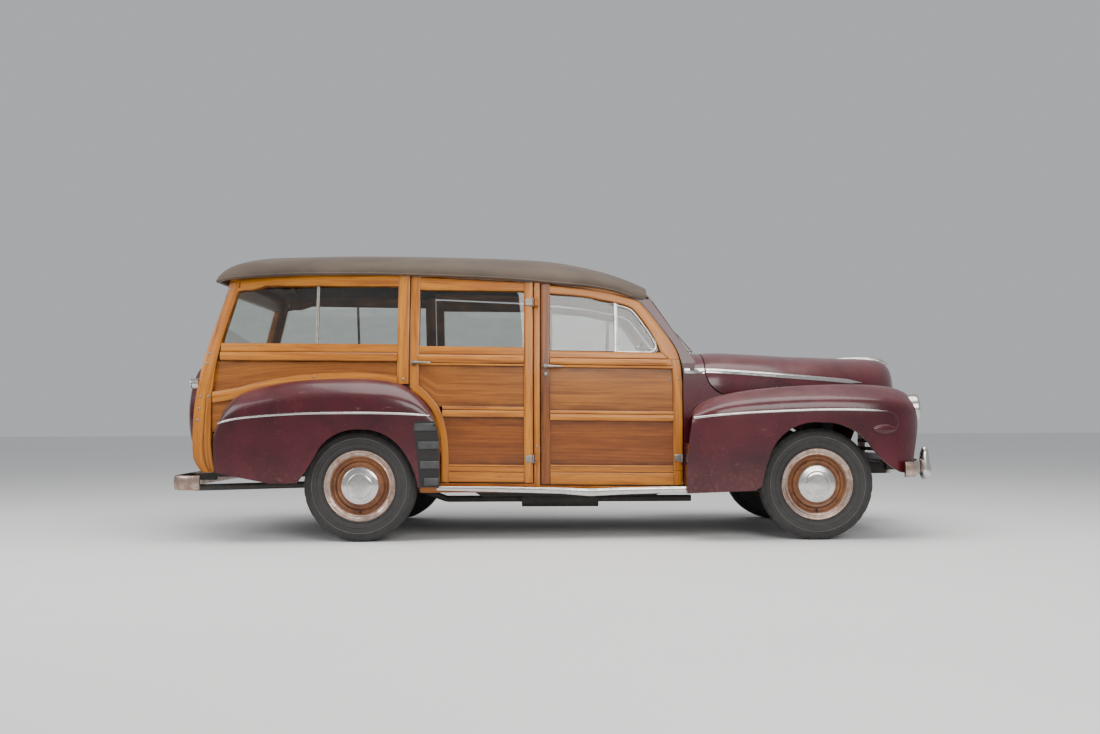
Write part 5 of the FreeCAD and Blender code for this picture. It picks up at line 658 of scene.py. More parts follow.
for side, word in SIDES:
    lay = on_side(side)
    x0, x1, z0, z1 = FRONT_DOOR
    inner = x0 + STILE_JOINT
    frame_form, stile, panels, low_panels = Form(), Form(), Form(), Form()
    hoop = [spread(shares, *FRONT_DOOR) for shares in (FRONT_HOOP_INNER_SHARES, FRONT_HOOP_OUTER_SHARES)]
    edges = [spread(shares, *FRONT_DOOR) for shares in (FRONT_STILE_INNER_SHARES, FRONT_STILE_OUTER_SHARES)]
    band(frame_form, *matched(*hoop, step=0.02), FRAME_FACE, DOOR_THICKNESS, lay)
    band(frame_form, *edges, FRAME_FACE, DOOR_THICKNESS, lay)
    post(frame_form, lay, *FRONT_KICK, flat_section(0.03, 0.003))
    post(stile, lay, x0, x0 + STILE_WIDTH, raked(z0, x0), z1, flat_section(0.029, 0.001))
    mouldings(frame_form, lay, inner, FRONT_RAIL_X, FRONT_LEVELS)
    mouldings(frame_form, lay, inner, FRONT_WINDOW_X, FRONT_BELT_LEVELS)
    mouldings(frame_form, lay, FRONT_WINDOW_X, FRONT_RAIL_X, FRONT_CORNER_LEVELS)
    mouldings(frame_form, lay, inner, FRONT_RAIL_X, FRONT_FOOT_LEVELS)
    panel(panels, lay, board(inner, FRONT_PANEL_X, *FRONT_PANEL))
    panel(low_panels, lay, board(inner, FRONT_PANEL_X, *FRONT_LOW_PANEL))
    body = f"front_door_{word}"
    woodwork("front_door", word, body, body, frame=frame_form, stile=stile, panel=panels,
             low_panel=low_panels)

    x0, x1, z0, z1 = REAR_DOOR
    inner, far = x0 + STILE_JOINT, x1 - STILE_JOINT
    frame_form, panels, low_panels = Form(), Form(), Form()
    curve = [spread(shares, *REAR_DOOR) for shares in (REAR_CURVE_INNER_SHARES, REAR_CURVE_OUTER_SHARES)]
    band(frame_form, *matched(*curve, step=0.025), STILE_FACE, DOOR_THICKNESS, lay)
    post(frame_form, lay, x0, x0 + STILE_WIDTH, *REAR_REAR_POST, STILE_FACE)
    post(frame_form, lay, x1 - STILE_WIDTH, x1, raked(z0, x1), REAR_FRONT_POST_TOP, STILE_FACE)
    band(frame_form, [(x, raked(REAR_WINDOW_Z, x)) for x in (inner, far)],
         list(zip((inner, far), REAR_TOP_Z)), flat_section(0.035), DOOR_THICKNESS, lay)
    mouldings(frame_form, lay, inner, far, REAR_BELT_LEVELS)
    mouldings(frame_form, lay, REAR_MIDDLE_X, far, REAR_MIDDLE_LEVELS)
    mouldings(frame_form, lay, REAR_FOOT_X, far, REAR_FOOT_LEVELS)
    lows = REAR_PANEL_LOW + [(x, raked(REAR_PANEL_Z, x)) for x in (-0.758, -0.6, -0.4, far)]
    panel(panels, lay, [(x, low, raked(REAR_PANEL_TOP, x)) for x, low in lows])
    panel(low_panels, lay, board(REAR_PANEL_X, far, *REAR_LOW_PANEL))
    body = f"rear_door_{word}"
    woodwork("rear_door", word, body, body, frame=frame_form, panel=panels, low_panel=low_panels)


# Rear quarters: pillar in two boards along the tail, corner post, rails, sunk panel and arch rail
TAIL_CURVE = mm([(-2128, 1690), (-2136, 1640), (-2168, 1530), (-2210, 1400), (-2263, 1230), (-2300, 1080),
                 (-2336, 890), (-2352, 650), (-2343, 520), (-2292, 440)])
PILLAR_INNER = mm([(-2060, 1690), (-2068, 1640), (-2098, 1530), (-2135, 1400), (-2182, 1230), (-2214, 1080),
                   (-2262, 890), (-2276, 650), (-2268, 520), (-2240, 440)])
PILLAR_BOARD = mm([(-2172, 1262), (-2205, 1100), (-2216, 1000), (-2226, 890), (-2230, 650), (-2218, 520),
                   (-2208, 440)])
PILLAR_JOINT = mm([(-2180, 1262), (-2211, 1100), (-2236, 1000), (-2261, 890), (-2275, 650), (-2267, 520),
                   (-2239, 440)])
ARCH_RAIL = mm([(-2215, 958), (-2055, 983), (-1896, 1022), (-1706, 1053), (-1515, 1069), (-1292, 1076),
                (-1133, 1067), (-1022, 1050)])
CORNER_INNER = mm([(-2103, 1520), (-2098, 1575), (-2073, 1607), (-2030, 1617)])
CORNER_OUTER = mm([(-2110, 1530), (-2100, 1600), (-2085, 1630), (-2040, 1640)])
ROOF_EDGE = mm([(-2190, 1676), (-2147, 1680), (-2048, 1692), (-1871, 1704), (-1662, 1710), (-1404, 1712),
                (-1147, 1709), (-951, 1705)])
QUARTER_LEVELS = ((1186, 1240, "flat"), (1128, 1184, "roll"))
WINDOW_REAR_X, WINDOW_CURVE_X, WINDOW_LEVEL_X, WINDOW_TOP_Z = -2.060, -1.981, -1.97, 1.616
WINDOW_DROP_SHARE = 0.02
QUARTER_REAR_X, QUARTER_FRONT_X, QUARTER_POST_X = -2.170, -1.0246, -0.9506
QUARTER_POST_LEVELS = 1.000, 1.705
ARCH_RAIL_WIDTH, ARCH_RAIL_FACE = 0.075, round_section(0.012, 0.0, 9, 0.6)
BELT_PANEL_TOP, LOW_PANEL_FOOT = 1.126, 0.70
CENTRE_POST = -0.1535, -0.1179, 0.318, 1.650


def along(line, x):
    """Height of a line at a length."""
    for (x0, z0), (x1, z1) in zip(line, line[1:]):
        if x <= x1:
            return z0 + (z1 - z0) * (x - x0) / (x1 - x0)
    return line[-1][1]


for side, word in SIDES:
    lay = on_side(side)
    frame_form, panels = Form(), Form()
    band(frame_form, *matched(PILLAR_INNER, TAIL_CURVE), flat_section(0.036, 0.0012), DOOR_THICKNESS, lay)
    band(frame_form, *matched(PILLAR_BOARD, PILLAR_JOINT), flat_section(0.02, 0.0005), DOOR_THICKNESS, lay)
    post(frame_form, lay, QUARTER_FRONT_X, QUARTER_POST_X, *QUARTER_POST_LEVELS, flat_section(0.037, 0.002))
    top = evenly(WINDOW_REAR_X, QUARTER_FRONT_X, 13)
    low = [(x, raked(WINDOW_TOP_Z, x) if x > WINDOW_LEVEL_X
            else WINDOW_TOP_Z + (x - WINDOW_CURVE_X) * WINDOW_DROP_SHARE) for x in top]
    band(frame_form, low, [(x, along(ROOF_EDGE, x)) for x in top], flat_section(0.04), DOOR_THICKNESS, lay)
    band(frame_form, *matched(CORNER_INNER, CORNER_OUTER), flat_section(0.012), DOOR_THICKNESS, lay)
    mouldings(frame_form, lay, QUARTER_REAR_X, QUARTER_FRONT_X, QUARTER_LEVELS)
    arch = spline(ARCH_RAIL, 0.04)
    band(frame_form, [(spot.x, spot.y - ARCH_RAIL_WIDTH) for spot in arch], arch, ARCH_RAIL_FACE,
         DOOR_THICKNESS, lay)
    panel(panels, lay, [(spot.x, spot.y - 0.03, raked(BELT_PANEL_TOP, spot.x)) for spot in arch],
          PANEL_RECESS * 1.6)
    panel(panels, lay, [(x, LOW_PANEL_FOOT, along(ARCH_RAIL, x) - 0.05) for x in evenly(-2.225, -1.03, 12)])
    woodwork("quarter", word, "body", f"rear_quarter_{word}", frame=frame_form, panel=panels)
    posts = Form()
    post(posts, lay, *CENTRE_POST, flat_section(0.018, 0.0008), DOOR_THICKNESS * 0.5)
    posts.piece(f"centre_post_{word}", GOLD, "body", "body_wood")


# Tail: rails, stiles and boards of the two gates, laid on their solids
def tail_member(form, w0, z0, w1, z1, half, section, depth, lay):
    one, other = edges_of([(w0 + (w1 - w0) * t, z0 + (z1 - z0) * t) for t in evenly(0, 1, 14)], half)
    band(form, one, other, section, depth, lay)


TAIL_WAY = (1, 0, 0)
GATE_TOP, GATE_RAIL_HALF, GATE_STILE_HALF = 1.112, 0.022, 0.026
BATTEN_W, BATTEN_HALF, GATE_BOARD_W = 0.42, 0.030, (0.388, 0.452)
LIFT_TOP_RAIL = 0.600, 1.618
BATTEN_FACE = round_section(0.020, 0.0, 9, 0.5)
BOARD_FACE = [(across, 0.0015) for across in evenly(-1, 1, 5)]
gate_low, gate_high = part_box("tailgate")
gate_lay = on_nodes(TAIL_WAY, "tailgate")
gate_form, gate_panel = Form(), Form()
half = gate_high.y - 0.035
low, high = gate_low.z + 0.030, GATE_TOP
for w0, z0, w1, z1, reach in (
        (-half + 0.03, low + 0.005, half - 0.03, low + 0.005, GATE_RAIL_HALF),
        (-half + 0.03, high - 0.020, half - 0.03, high - 0.020, GATE_RAIL_HALF),
        (-half + 0.032, low + 0.03, -half + 0.038, high - 0.045, GATE_STILE_HALF),
        (half - 0.032, low + 0.03, half - 0.038, high - 0.045, GATE_STILE_HALF)):
    tail_member(gate_form, w0, z0, w1, z1, reach, flat_section(reach, 0.004), 0.01, gate_lay)
for w in (-BATTEN_W, BATTEN_W):
    tail_member(gate_form, w, low + 0.065, w, high - 0.065, BATTEN_HALF, BATTEN_FACE, 0.004, gate_lay)
gate_form.piece("tailgate_frame", GOLD, "tailgate", "body_wood")
near, far = GATE_BOARD_W
for w0, w1 in ((-half + 0.062, -far), (-near, near), (far, half - 0.062)):
    middle, reach = (w0 + w1) / 2, (w1 - w0) / 2
    tail_member(gate_panel, middle, low + 0.045, middle, high - 0.058, reach, BOARD_FACE, 0.004, gate_lay)
gate_panel.piece("tailgate_panels", PANEL, "tailgate", "body_wood")

lift_low, lift_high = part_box("liftgate")
lift_lay = on_nodes(TAIL_WAY, "liftgate")
lift_form = Form()
for half, z in ((lift_high.y - 0.066, lift_low.z + 0.036), LIFT_TOP_RAIL):
    tail_member(lift_form, -half, z, half, z, 0.030, flat_section(0.03, 0.003), 0.01, lift_lay)
lift_form.piece("liftgate_rails", GOLD, "liftgate", "body_wood")


# Bolt heads and hinges
PILLAR_BOLTS = mm([(-2106, 1662), (-2122, 1625), (-2150, 1580), (-2243, 1205), (-2256, 1140), (-2300, 925),
                   (-2246, 925), (-2307, 850), (-2316, 775), (-1552, 1046), (-988, 1690), (-985, 1030)])
ARCH_BOLT_X, ARCH_BOLT_OUT, BOLT_OUT = -1.552, 0.010, 0.001
POST_BOLTS = -0.136, (1.612, 0.600)
DOOR_BOLTS, DOOR_BOLT_Z = ((0.722, -PANEL_RECESS), (0.768, BOLT_OUT)), 1.027
bolts = {}


def bolt(body, place, normal, radius=0.009, height=0.005):
    dome(bolts.setdefault(body, Form()), place, normal, radius, height)


for side, word in SIDES:
    lay = on_side(side)
    for x, z in PILLAR_BOLTS:
        place, normal = lay(x, z)
        bolt("body", place + normal * (ARCH_BOLT_OUT if x == ARCH_BOLT_X else BOLT_OUT), normal)
    for z in POST_BOLTS[1]:
        bolt("body", *lay(POST_BOLTS[0], z), 0.007, 0.004)
    for x, out in DOOR_BOLTS:
        place, normal = lay(x, DOOR_BOLT_Z)
        bolt(f"front_door_{word}", place + normal * out, normal, 0.008)
for body, form in bolts.items():
    form.piece(f"bolts_{body}", STEEL, body, "bright_metal")

HINGE_LEVELS = (0.520, 1.523)
FRONT_HINGE_X, REAR_HINGE_X = 0.7935, -0.1578
LEAF_SCREWS, LEAF_OUT = (-0.038, -0.020), 0.010
HINGE_PIN_OUT = 0.012
HINGE_HALF = 0.026
LEAF_FACE = flat_section(0.022, LEAF_OUT, 0.003)
PIN_SHARES = (-1.1, -1.0, -0.4, -0.36, -0.30, 0.30, 0.36, 0.4, 1.0, 1.1)
PIN_RADII = [0.004, 0.0085, 0.0085, 0.0075, 0.0088, 0.0088, 0.0075, 0.0085, 0.0085, 0.004]
for side, word in SIDES:
    lay = on_side(side)
    for end, x, levels in (("front", FRONT_HINGE_X, HINGE_LEVELS[:1]), ("rear", REAR_HINGE_X, HINGE_LEVELS)):
        form, body = Form(), f"{end}_door_{word}"
        for z in levels:
            pin = lay(x, z)[0] + Vector((0, side * HINGE_PIN_OUT, 0))
            tube(form, [(pin.x, pin.y, z + share * HINGE_HALF) for share in PIN_SHARES], PIN_RADII, 16)
            band(form, [(x - 0.050, z - 0.022), (x - 0.006, z - 0.024)],
                 [(x - 0.050, z + 0.022), (x - 0.006, z + 0.024)], LEAF_FACE, 0.002, lay)
            for away in LEAF_SCREWS:
                place, normal = lay(x + away, z)
                dome(form, place + normal * LEAF_OUT, normal, 0.005, 0.0025, 12)
        form.piece(f"hinges_{body}", STEEL, body, "bare_steel")


# Door handles with their roses and locks
HANDLE_OUT, HANDLE_LENGTH, HANDLE_START, LOCK_DROP = 0.036, 0.125, 0.014, 0.048
FRONT_HANDLE, REAR_HANDLE = (-0.082, 1.1075), (-0.9144, 1.132)
ROSE = mm([(-2, 19), (2, 19), (4, 18), (9, 13), (14, 11), (24, 10), (42, 11)])
LOCK = mm([(-1, 13), (4, 13), (8, 11), (10, 4)])
LEVER_RADII = [0.006, 0.010, 0.0115, 0.011, 0.0105, 0.010, 0.0095, 0.009, 0.0086, 0.0082, 0.0072, 0.003]


def stub(form, place, normal, profile):
    """A round piece that stands on a surface: pairs of reach and radius."""
    reaches, radii = zip(*profile)
    tube(form, [place + normal * reach for reach in reaches], radii, 24)


def door_handle(door, word, x, z, lay):
    form = Form()
    spot, normal = lay(x, z)
    stub(form, spot, normal, ROSE)
    lever = [spot + normal * (HANDLE_OUT + 0.004 * math.sin(share * math.pi))
             + Vector((share * HANDLE_LENGTH - HANDLE_START, 0, -0.004 * share))
             for share in evenly(0, 1, len(LEVER_RADII))]
    tube(form, lever, LEVER_RADII, 20, squeeze=0.8)
    if door == "front":
        stub(form, *lay(x, z - LOCK_DROP), LOCK)
    form.piece(f"{door}_handle_{word}", STEEL, f"{door}_door_{word}", "bright_metal")


for side, word in SIDES:
    door_handle("front", word, *FRONT_HANDLE, on_side(side))
    door_handle("rear", word, *REAR_HANDLE, on_side(side))


# Bright strips, vent windows and glass channels
STRIP_TIP, STRIP_TAPER = 0.15, 0.25
HOOD_STRIP = mm([(958, 1082), (1184, 1070), (1510, 1048), (1837, 1023), (2000, 1009), (2032, 1007)])
COWL_STRIP = mm([(812, 1082), (880, 1081), (946, 1080)])
FENDER_STRIP = mm([(850, 776), (976, 791), (1163, 806), (1365, 816), (1567, 823), (1754, 825), (1941, 821),
                   (2050, 814)])
REAR_STRIP = mm([(-2136, 754), (-2010, 782), (-1824, 800), (-1606, 812), (-1388, 815), (-1140, 814),
                 (-922, 806), (-780, 793)])
for side, word in SIDES:
    for name, line, half, height, node, body in (
            ("hood_strip", HOOD_STRIP, 0.016, 0.007, "hood", "hood"),
            ("cowl_strip", COWL_STRIP, 0.019, 0.006, "cowl", "body"),
            ("fender_strip", FENDER_STRIP, 0.0075, 0.008, "front_fenders", "body"),
            ("rear_fender_strip", REAR_STRIP, 0.0075, 0.008, "rear_fenders", "body")):
        form = Form()
        path = spline(line)
        one, other = edges_of(path, half)
        taper = [1.0] * len(path)
        if name != "cowl_strip":
            taper = [min(1.0, STRIP_TIP + (len(path) - 1 - index) * STRIP_TAPER)
                     for index in range(len(path))]
        middle = [(near + far) / 2 for near, far in zip(one, other)]
        one, other = [[centre + (spot - centre) * share for centre, spot, share in zip(middle, edge, taper)]
                      for edge in (one, other)]
        band(form, one, other, round_section(height, 0.0, 9, 0.7), 0.002, on_nodes((0, -side, 0), node))
        form.piece(f"{name}_{word}", CHROME, body, "bright_metal")

VENT_BAR_X, VENT_POST_X = 0.3694, 0.381
VENT_LEVELS = (1.208, 1.30, 1.42, 1.518)
VENT_FRAME_HALF, VENT_BAR_HALF, VENT_BAR_ENDS = 0.006, 0.008, (1.196, 1.532)
LATCH_X, LATCH_Z, LATCH_SINK, LATCH_WAY = 0.512, 1.232, 0.016, Vector((0.03, 0, 0.028))
QUARTER_CHANNEL = -1.556, -1.538, 1.256, 1.636
WINDOW_SEAL = -0.054, 0.362, 1.206, 1.214
VENT_SILL = mm([(585, 1202), (480, 1204), (381, 1206)])
VENT_GLASS = mm([(545, 1425), (578, 1370), (612, 1315), (632, 1262), (628, 1228), (600, 1222)])
LATCH_RADII = [0.005, 0.004, 0.0035, 0.004, 0.005]
for side, word in SIDES:
    lay = on_side(side)
    door = f"front_door_{word}"
    form, channel, seals = Form(), Form(), Form()
    curve = spline(spread(VENT_SHARES, *FRONT_DOOR), 0.02)
    edge = [(VENT_POST_X, z) for z in VENT_LEVELS] + curve + VENT_SILL
    strip(form, edge, VENT_FRAME_HALF, round_section(0.006, -0.014), 0.026, lay)
    post(form, lay, VENT_BAR_X - VENT_BAR_HALF, VENT_BAR_X + VENT_BAR_HALF, *VENT_BAR_ENDS,
         round_section(0.004, -0.012), 0.026)
    strip(form, spline(VENT_GLASS, 0.02), 0.0035, round_section(0.004, -0.012), 0.020, lay)
    latch, normal = lay(LATCH_X, LATCH_Z)
    latch -= normal * LATCH_SINK
    tube(form, [latch + LATCH_WAY * share for share in evenly(0, 1, 5)], LATCH_RADII, 12)
    form.piece(f"vent_frame_{word}", CHROME, door, "bright_metal")
    post(channel, lay, *QUARTER_CHANNEL, round_section(0.003, -0.014), 0.028)
    channel.piece(f"quarter_channel_{word}", STEEL, "body", "bright_metal")
    rail(seals, lay, *WINDOW_SEAL, flat_section(0.004, -0.012, 0.001), 0.02)
    seals.piece(f"window_seal_{word}", DARK, door)


# Roof cover: the fabric follows the solid, with a drip moulding round it and the slats below
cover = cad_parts["roof"].data.copy()
cover.name = "roof_cover"
cover.materials.clear()
work = bmesh.new()
work.from_mesh(cover)
bmesh.ops.remove_doubles(work, verts=work.verts, dist=0.0001)
bmesh.ops.recalc_face_normals(work, faces=work.faces)
work.to_mesh(cover)
work.free()
finish_piece(cover, "roof_cover", CLOTH, "body", ("roof",), 50)
DRIP_LINE = mm([(-2215, 1680), (-2147, 1684), (-2048, 1696), (-1871, 1706), (-1662, 1713), (-1404, 1715),
                (-1147, 1712), (-954, 1706), (-633, 1694), (-311, 1678), (10, 1650), (203, 1631), (364, 1602),
                (477, 1564)])
for side, word in SIDES:
    form = Form()
    strip(form, spline(DRIP_LINE, 0.04), 0.006, round_section(0.007), 0.002, on_nodes((0, -side, 0), "roof"))
    form.piece(f"drip_moulding_{word}", CLOTH, "body", "roof_cloth")

SLAT_SECTION = mm([(-22, 0), (22, 0), (22, -14), (-22, -14)])
ROOF_PROBE_Z, SLAT_COUNT, SLAT_START, SLAT_STEP = 1.3, 9, -0.56, 0.14
SLAT_DROP, BOW_DROP, BOW_RADIUS, GRAIN_SHIFT = 0.008, 0.034, 0.016, 3.1
roof_tree = tree_of("roof")
slats = Form()


def under_roof(x, w, drop):
    """A point below the inside of the roof, or none beside it."""
    hit = roof_tree.ray_cast(Vector((x, w, ROOF_PROBE_Z)), Vector((0, 0, 1)))[0]
    return [] if hit is None else [hit - Vector((0, 0, drop))]


for index in range(SLAT_COUNT):
    w = SLAT_START + SLAT_STEP * index
    spots = [spot for x in evenly(-2.1, 0.35, 26) for spot in under_roof(x, w, SLAT_DROP)]
    points, runs = [], []
    for spot in spots:
        for across, down in SLAT_SECTION:
            points.append(spot + Vector((0, across, down)))
            runs.append((spot.x + index * GRAIN_SHIFT, across, down))
    slats.add(points, quads(len(spots), 4), runs)
for x in evenly(-2.0, 0.2, 7):
    tube(slats, [spot for w in evenly(-0.60, 0.60, 17) for spot in under_roof(x, w, BOW_DROP)],
         BOW_RADIUS, 8)
slats.piece("roof_slats", PANEL_LOW, "body", "body_wood")

# Stone guards: four raised bands laid across each guard, between edges given as height and length
RIB_LEVELS = (0.384, 0.490, 0.613, 0.727)
RIB_HALF, RIB_REAR_INSET, RIB_FRONT_INSET = 0.024, 0.006, 0.008
RIB_FACE = flat_section(RIB_HALF, 0.007, 0.004, 7)
GUARD_REAR = mm([(347, -834), (425, -858), (519, -874), (613, -897), (699, -921), (731, -921), (762, -905)])
GUARD_FRONT = mm([(354, -744), (566, -737), (683, -744), (766, -764)])
for side, word in SIDES:
    ribs = Form()
    guard_lay = on_nodes((0, -side, 0), "stone_guards")
    for z in RIB_LEVELS:
        line = evenly(along(GUARD_REAR, z) + RIB_REAR_INSET, along(GUARD_FRONT, z) - RIB_FRONT_INSET, 9)
        strip(ribs, [(x, z) for x in line], RIB_HALF, RIB_FACE, 0.002, guard_lay)
    ribs.piece(f"guard_ribs_{word}", GUARD, "body", "guard_rubber")

# Sill mouldings, dented along the middle
SILL_HALF, SILL_ENDS = 0.852, (-0.764, 0.802)
SILL_TOP = mm([(-766, 353), (-420, 350), (11, 342), (199, 334), (403, 341), (804, 347)])
SILL_LOW = mm([(-766, 326), (-420, 316), (11, 303), (199, 287), (403, 297), (804, 308)])


def on_sill(side):
    def lay(x, z):
        return Vector((x, side * SILL_HALF, z)), Vector((0, side, 0))
    return lay


for side, word in SIDES:
    form = Form()
    lows, tops = [[(x, along(edge, x)) for x in evenly(*SILL_ENDS, 80)] for edge in (SILL_LOW, SILL_TOP)]
    band(form, lows, tops, round_section(0.009, 0.0, 11, 0.8), 0.004, on_sill(side))
    form.piece(f"sill_moulding_{word}", CHROME, "body", "bright_metal", ("sill_mouldings",))


# Lamps
FORWARD, BACKWARD = (1, 0, 0), (-1, 0, 0)
LAMP_X, LAMP_W, LAMP_Z = 2.296, 0.660, 0.828
BEZEL = mm([(92, -50), (96, -20), (98.5, 0), (98, 8), (94, 14), (87, 16), (81, 13), (79, 6), (78, -4)])
REFLECTOR = mm([(79, 4), (70, -14), (55, -30), (36, -42), (14, -48), (0.5, -49)])
BULB = mm([(12, -48), (12, -30), (8, -22), (0.5, -20)])
LAMP_GLASS = mm([(80, 8), (74, 12.5), (60, 17.5), (40, 21.5), (20, 23.5), (0.5, 24.2)])
TAIL_RIM = mm([(30, 0), (32.5, 2), (32, 6), (28, 8), (25, 6), (25, 1)])
TAIL_LENS = mm([(25.5, 4), (23, 8), (16, 10.5), (8, 11.5), (0.5, 12)])
for side, word in SIDES:
    spot = (LAMP_X, side * LAMP_W, LAMP_Z)
    turned_piece(f"lamp_bezel_{word}", BEZEL, spot, FORWARD, 96, CHROME, "body", "bright_metal",
                 ("headlamps",))
    bowl = Form()
    turned(bowl, REFLECTOR, spot, FORWARD, 64)
    turned(bowl, BULB, spot, FORWARD, 24)
    bowl.piece(f"lamp_bowl_{word}", CHROME, "body", "bright_metal")
    turned_piece(f"lamp_glass_{word}", LAMP_GLASS, spot, FORWARD, 64, LENS, "body", "glass")

TAIL_LAMP_SINK, TAIL_LAMP_HALF = 0.010, 0.032
low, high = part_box("tail_lamps")
for side, word in SIDES:
    spot = (low.x + TAIL_LAMP_SINK, side * (max(abs(low.y), abs(high.y)) - TAIL_LAMP_HALF),
            (low.z + high.z) / 2)
    turned_piece(f"tail_rim_{word}", TAIL_RIM, spot, BACKWARD, 40, CHROME, "body", "bright_metal")
    turned_piece(f"tail_lens_{word}", TAIL_LENS, spot, BACKWARD, 32, RED, "body", "glass")

# Hood ornament, a blank spear along the middle of the hood
SPEAR = mm([(1955, 0, 1188), (2020, 0, 1190), (2100, 0, 1189), (2190, 0, 1183), (2260, 0, 1172),
            (2310, 0, 1158), (2338, 0, 1148)])
SPEAR_ROOT, SPEAR_GROWTH, SPEAR_RISE, SPEAR_TIP = 0.003, 0.015, 12, 17
spear = Form()
path = spline(SPEAR, 0.02)
radii = []
for index in range(len(path)):
    tip = 1.0 if index <= SPEAR_TIP else max(0.25, 1 - (index - SPEAR_TIP) * 0.3)
    radii.append(SPEAR_ROOT + SPEAR_GROWTH * min(1.0, index / SPEAR_RISE) * tip)
tube(spear, path, radii, 16)
spear.piece("hood_spear", CHROME, "hood", "bright_metal")

# Catwalks: the sheet between the hood and each front fender at the nose, by length, inner, outer and height
CATWALK = mm([(2060, 392, 450, 880), (2105, 372, 430, 882), (2160, 336, 420, 882), (2210, 296, 410, 880),
              (2255, 252, 405, 878), (2290, 205, 400, 872)])
SHEET = 0.004
for side, word in SIDES:
    form = Form()
    points = []
    for x, inner, outer, z in CATWALK:
        points += [(x, side * w, z) for w in evenly(inner, outer, 5)]
        points += [(x, side * w, z - SHEET) for w in evenly(outer, inner, 5)]
    form.add(points, quads(len(CATWALK), 10))
    form.piece(f"catwalk_{word}", MAROON, "body", "body_paint")

# Wipers on the windshield and the filler cap on the cowl
ARM_RADII = [0.0055, 0.005, 0.0045, 0.004, 0.004, 0.004]
FINIAL = mm([(18, -6), (18, 4), (11, 8), (7, 14), (6, 26), (9, 30), (10, 36), (7, 42), (0.5, 44)])
WIPER_X, WIPER_W, WIPER_Z, WIPER_BOSS = 0.938, 0.075, 1.214, (0.013, 0.022)
ARM_REST, ARM_LIFT, BLADE_LIFT = (0.105, 1.352), 0.016, 0.010
FINIAL_SPOT = 0.925, 0, 1.213
screen_lay = on_nodes(BACKWARD, "fixed_glass", "cowl")
for side, word in SIDES:
    wiper = Form()
    pivot = Vector((WIPER_X, side * WIPER_W, WIPER_Z))
    dome(wiper, pivot, (0, 0, 1), *WIPER_BOSS)
    rest, way = screen_lay(side * ARM_REST[0], ARM_REST[1])
    rest += way * ARM_LIFT
    top = pivot + Vector((0, 0, 0.020))
    tube(wiper, [top + (rest - top) * share for share in evenly(0, 1, 6)], ARM_RADII, 8)
    blade = [screen_lay(side * (0.055 + 0.23 * share), 1.368 - 0.070 * share) for share in evenly(0, 1, 9)]
    tube(wiper, [place + way * BLADE_LIFT for place, way in blade], 0.0045, 8, squeeze=1.4)
    wiper.piece(f"wiper_{word}", STEEL, "body", "bright_metal")
turned_piece("cowl_finial", FINIAL, FINIAL_SPOT, (0, 0, 1), 24, CHROME, "body", "bright_metal")

# Front fenders: the pod behind each lamp and the crease that turns down round it
POD_X, POD_Z, POD_REACH, POD_HALF = 2.035, 0.702, 0.0745, 0.030
POD_ENDS = 1.962, 2.108
CREASE = mm([(2040, 816), (2084, 804), (2112, 782), (2127, 745), (2118, 706)])
for side, word in SIDES:
    pod = Form()
    pod_lay = on_nodes((0, -side, 0), "front_fenders")
    run = evenly(*POD_ENDS, 13)
    swell = [POD_HALF * math.sqrt(max(0.06, 1 - ((x - POD_X) / POD_REACH) ** 2)) for x in run]
    lows, highs = [[(x, POD_Z + sign * half) for x, half in zip(run, swell)] for sign in (-1, 1)]
    band(pod, lows, highs, round_section(0.013, 0.0, 11, 0.9), 0.002, pod_lay)
    strip(pod, spline(CREASE, 0.015), 0.005, round_section(0.004), 0.001, pod_lay)
    pod.piece(f"fender_pod_{word}", MAROON, "body", "body_paint")


# Tyres and wheels, on their hubs
ZIGZAG_LOW, ZIGZAG_HALF, ZIGZAG = 0.3450, 0.0460, 0.0028
SHOULDER_LOW, SHOULDER_HALF, BLOCK_DEPTH = 0.3490, 0.0470, 0.0055


def tread(index, turn, radius, reach):
    """Cuts zigzag grooves and small side blocks in the tread."""
    if radius > ZIGZAG_LOW and abs(reach) < ZIGZAG_HALF:
        reach += ZIGZAG * (1 if turn % 4 < 2 else -1)
    if radius > SHOULDER_LOW and abs(reach) > SHOULDER_HALF and turn % 6 < 2:
        radius -= BLOCK_DEPTH
    return radius, reach


SIDEWALL = mm([(212, 50), (213.5, 57.5), (222, 63), (232, 65.5), (236, 69.2), (240, 66.8), (254, 72.5),
               (262, 74.8), (266, 77.6), (270, 75.6), (280, 77.8), (290, 78.6), (296.5, 78.4), (298.5, 80),
               (301.5, 79.8), (303.5, 77.4), (312, 75.8), (320, 72.4), (328, 68), (331, 69.6), (334, 65.5),
               (343, 60), (350, 56), (353.5, 52.8)])
TREAD_TOP, GROOVE_FLOOR, GROOVE_HALF, FLOOR_HALF = 0.3548, 0.3470, 0.0052, 0.0034
crown = []
for groove in (0.0375, 0.0135, -0.0135, -0.0375):
    crown += [(TREAD_TOP, groove + GROOVE_HALF), (GROOVE_FLOOR, groove + FLOOR_HALF),
              (GROOVE_FLOOR, groove - FLOOR_HALF), (TREAD_TOP, groove - GROOVE_HALF)]
TYRE = SIDEWALL + crown + [(radius, -reach) for radius, reach in SIDEWALL[::-1]] + mm([
    (206, -30), (204, 0), (206, 30), (212, 50)])
TYRE_LINE = mm([(298.5, 79.4), (299, 80.4), (301, 80.3), (301.5, 79.2)])
TRIM_RING = mm([(225.5, 56), (227.8, 62.5), (227.2, 67), (224, 69.4), (219, 69), (215, 66), (210, 66.8),
                (206, 65), (201, 60), (194, 57.5), (190, 59), (187.5, 57), (187, 50)])
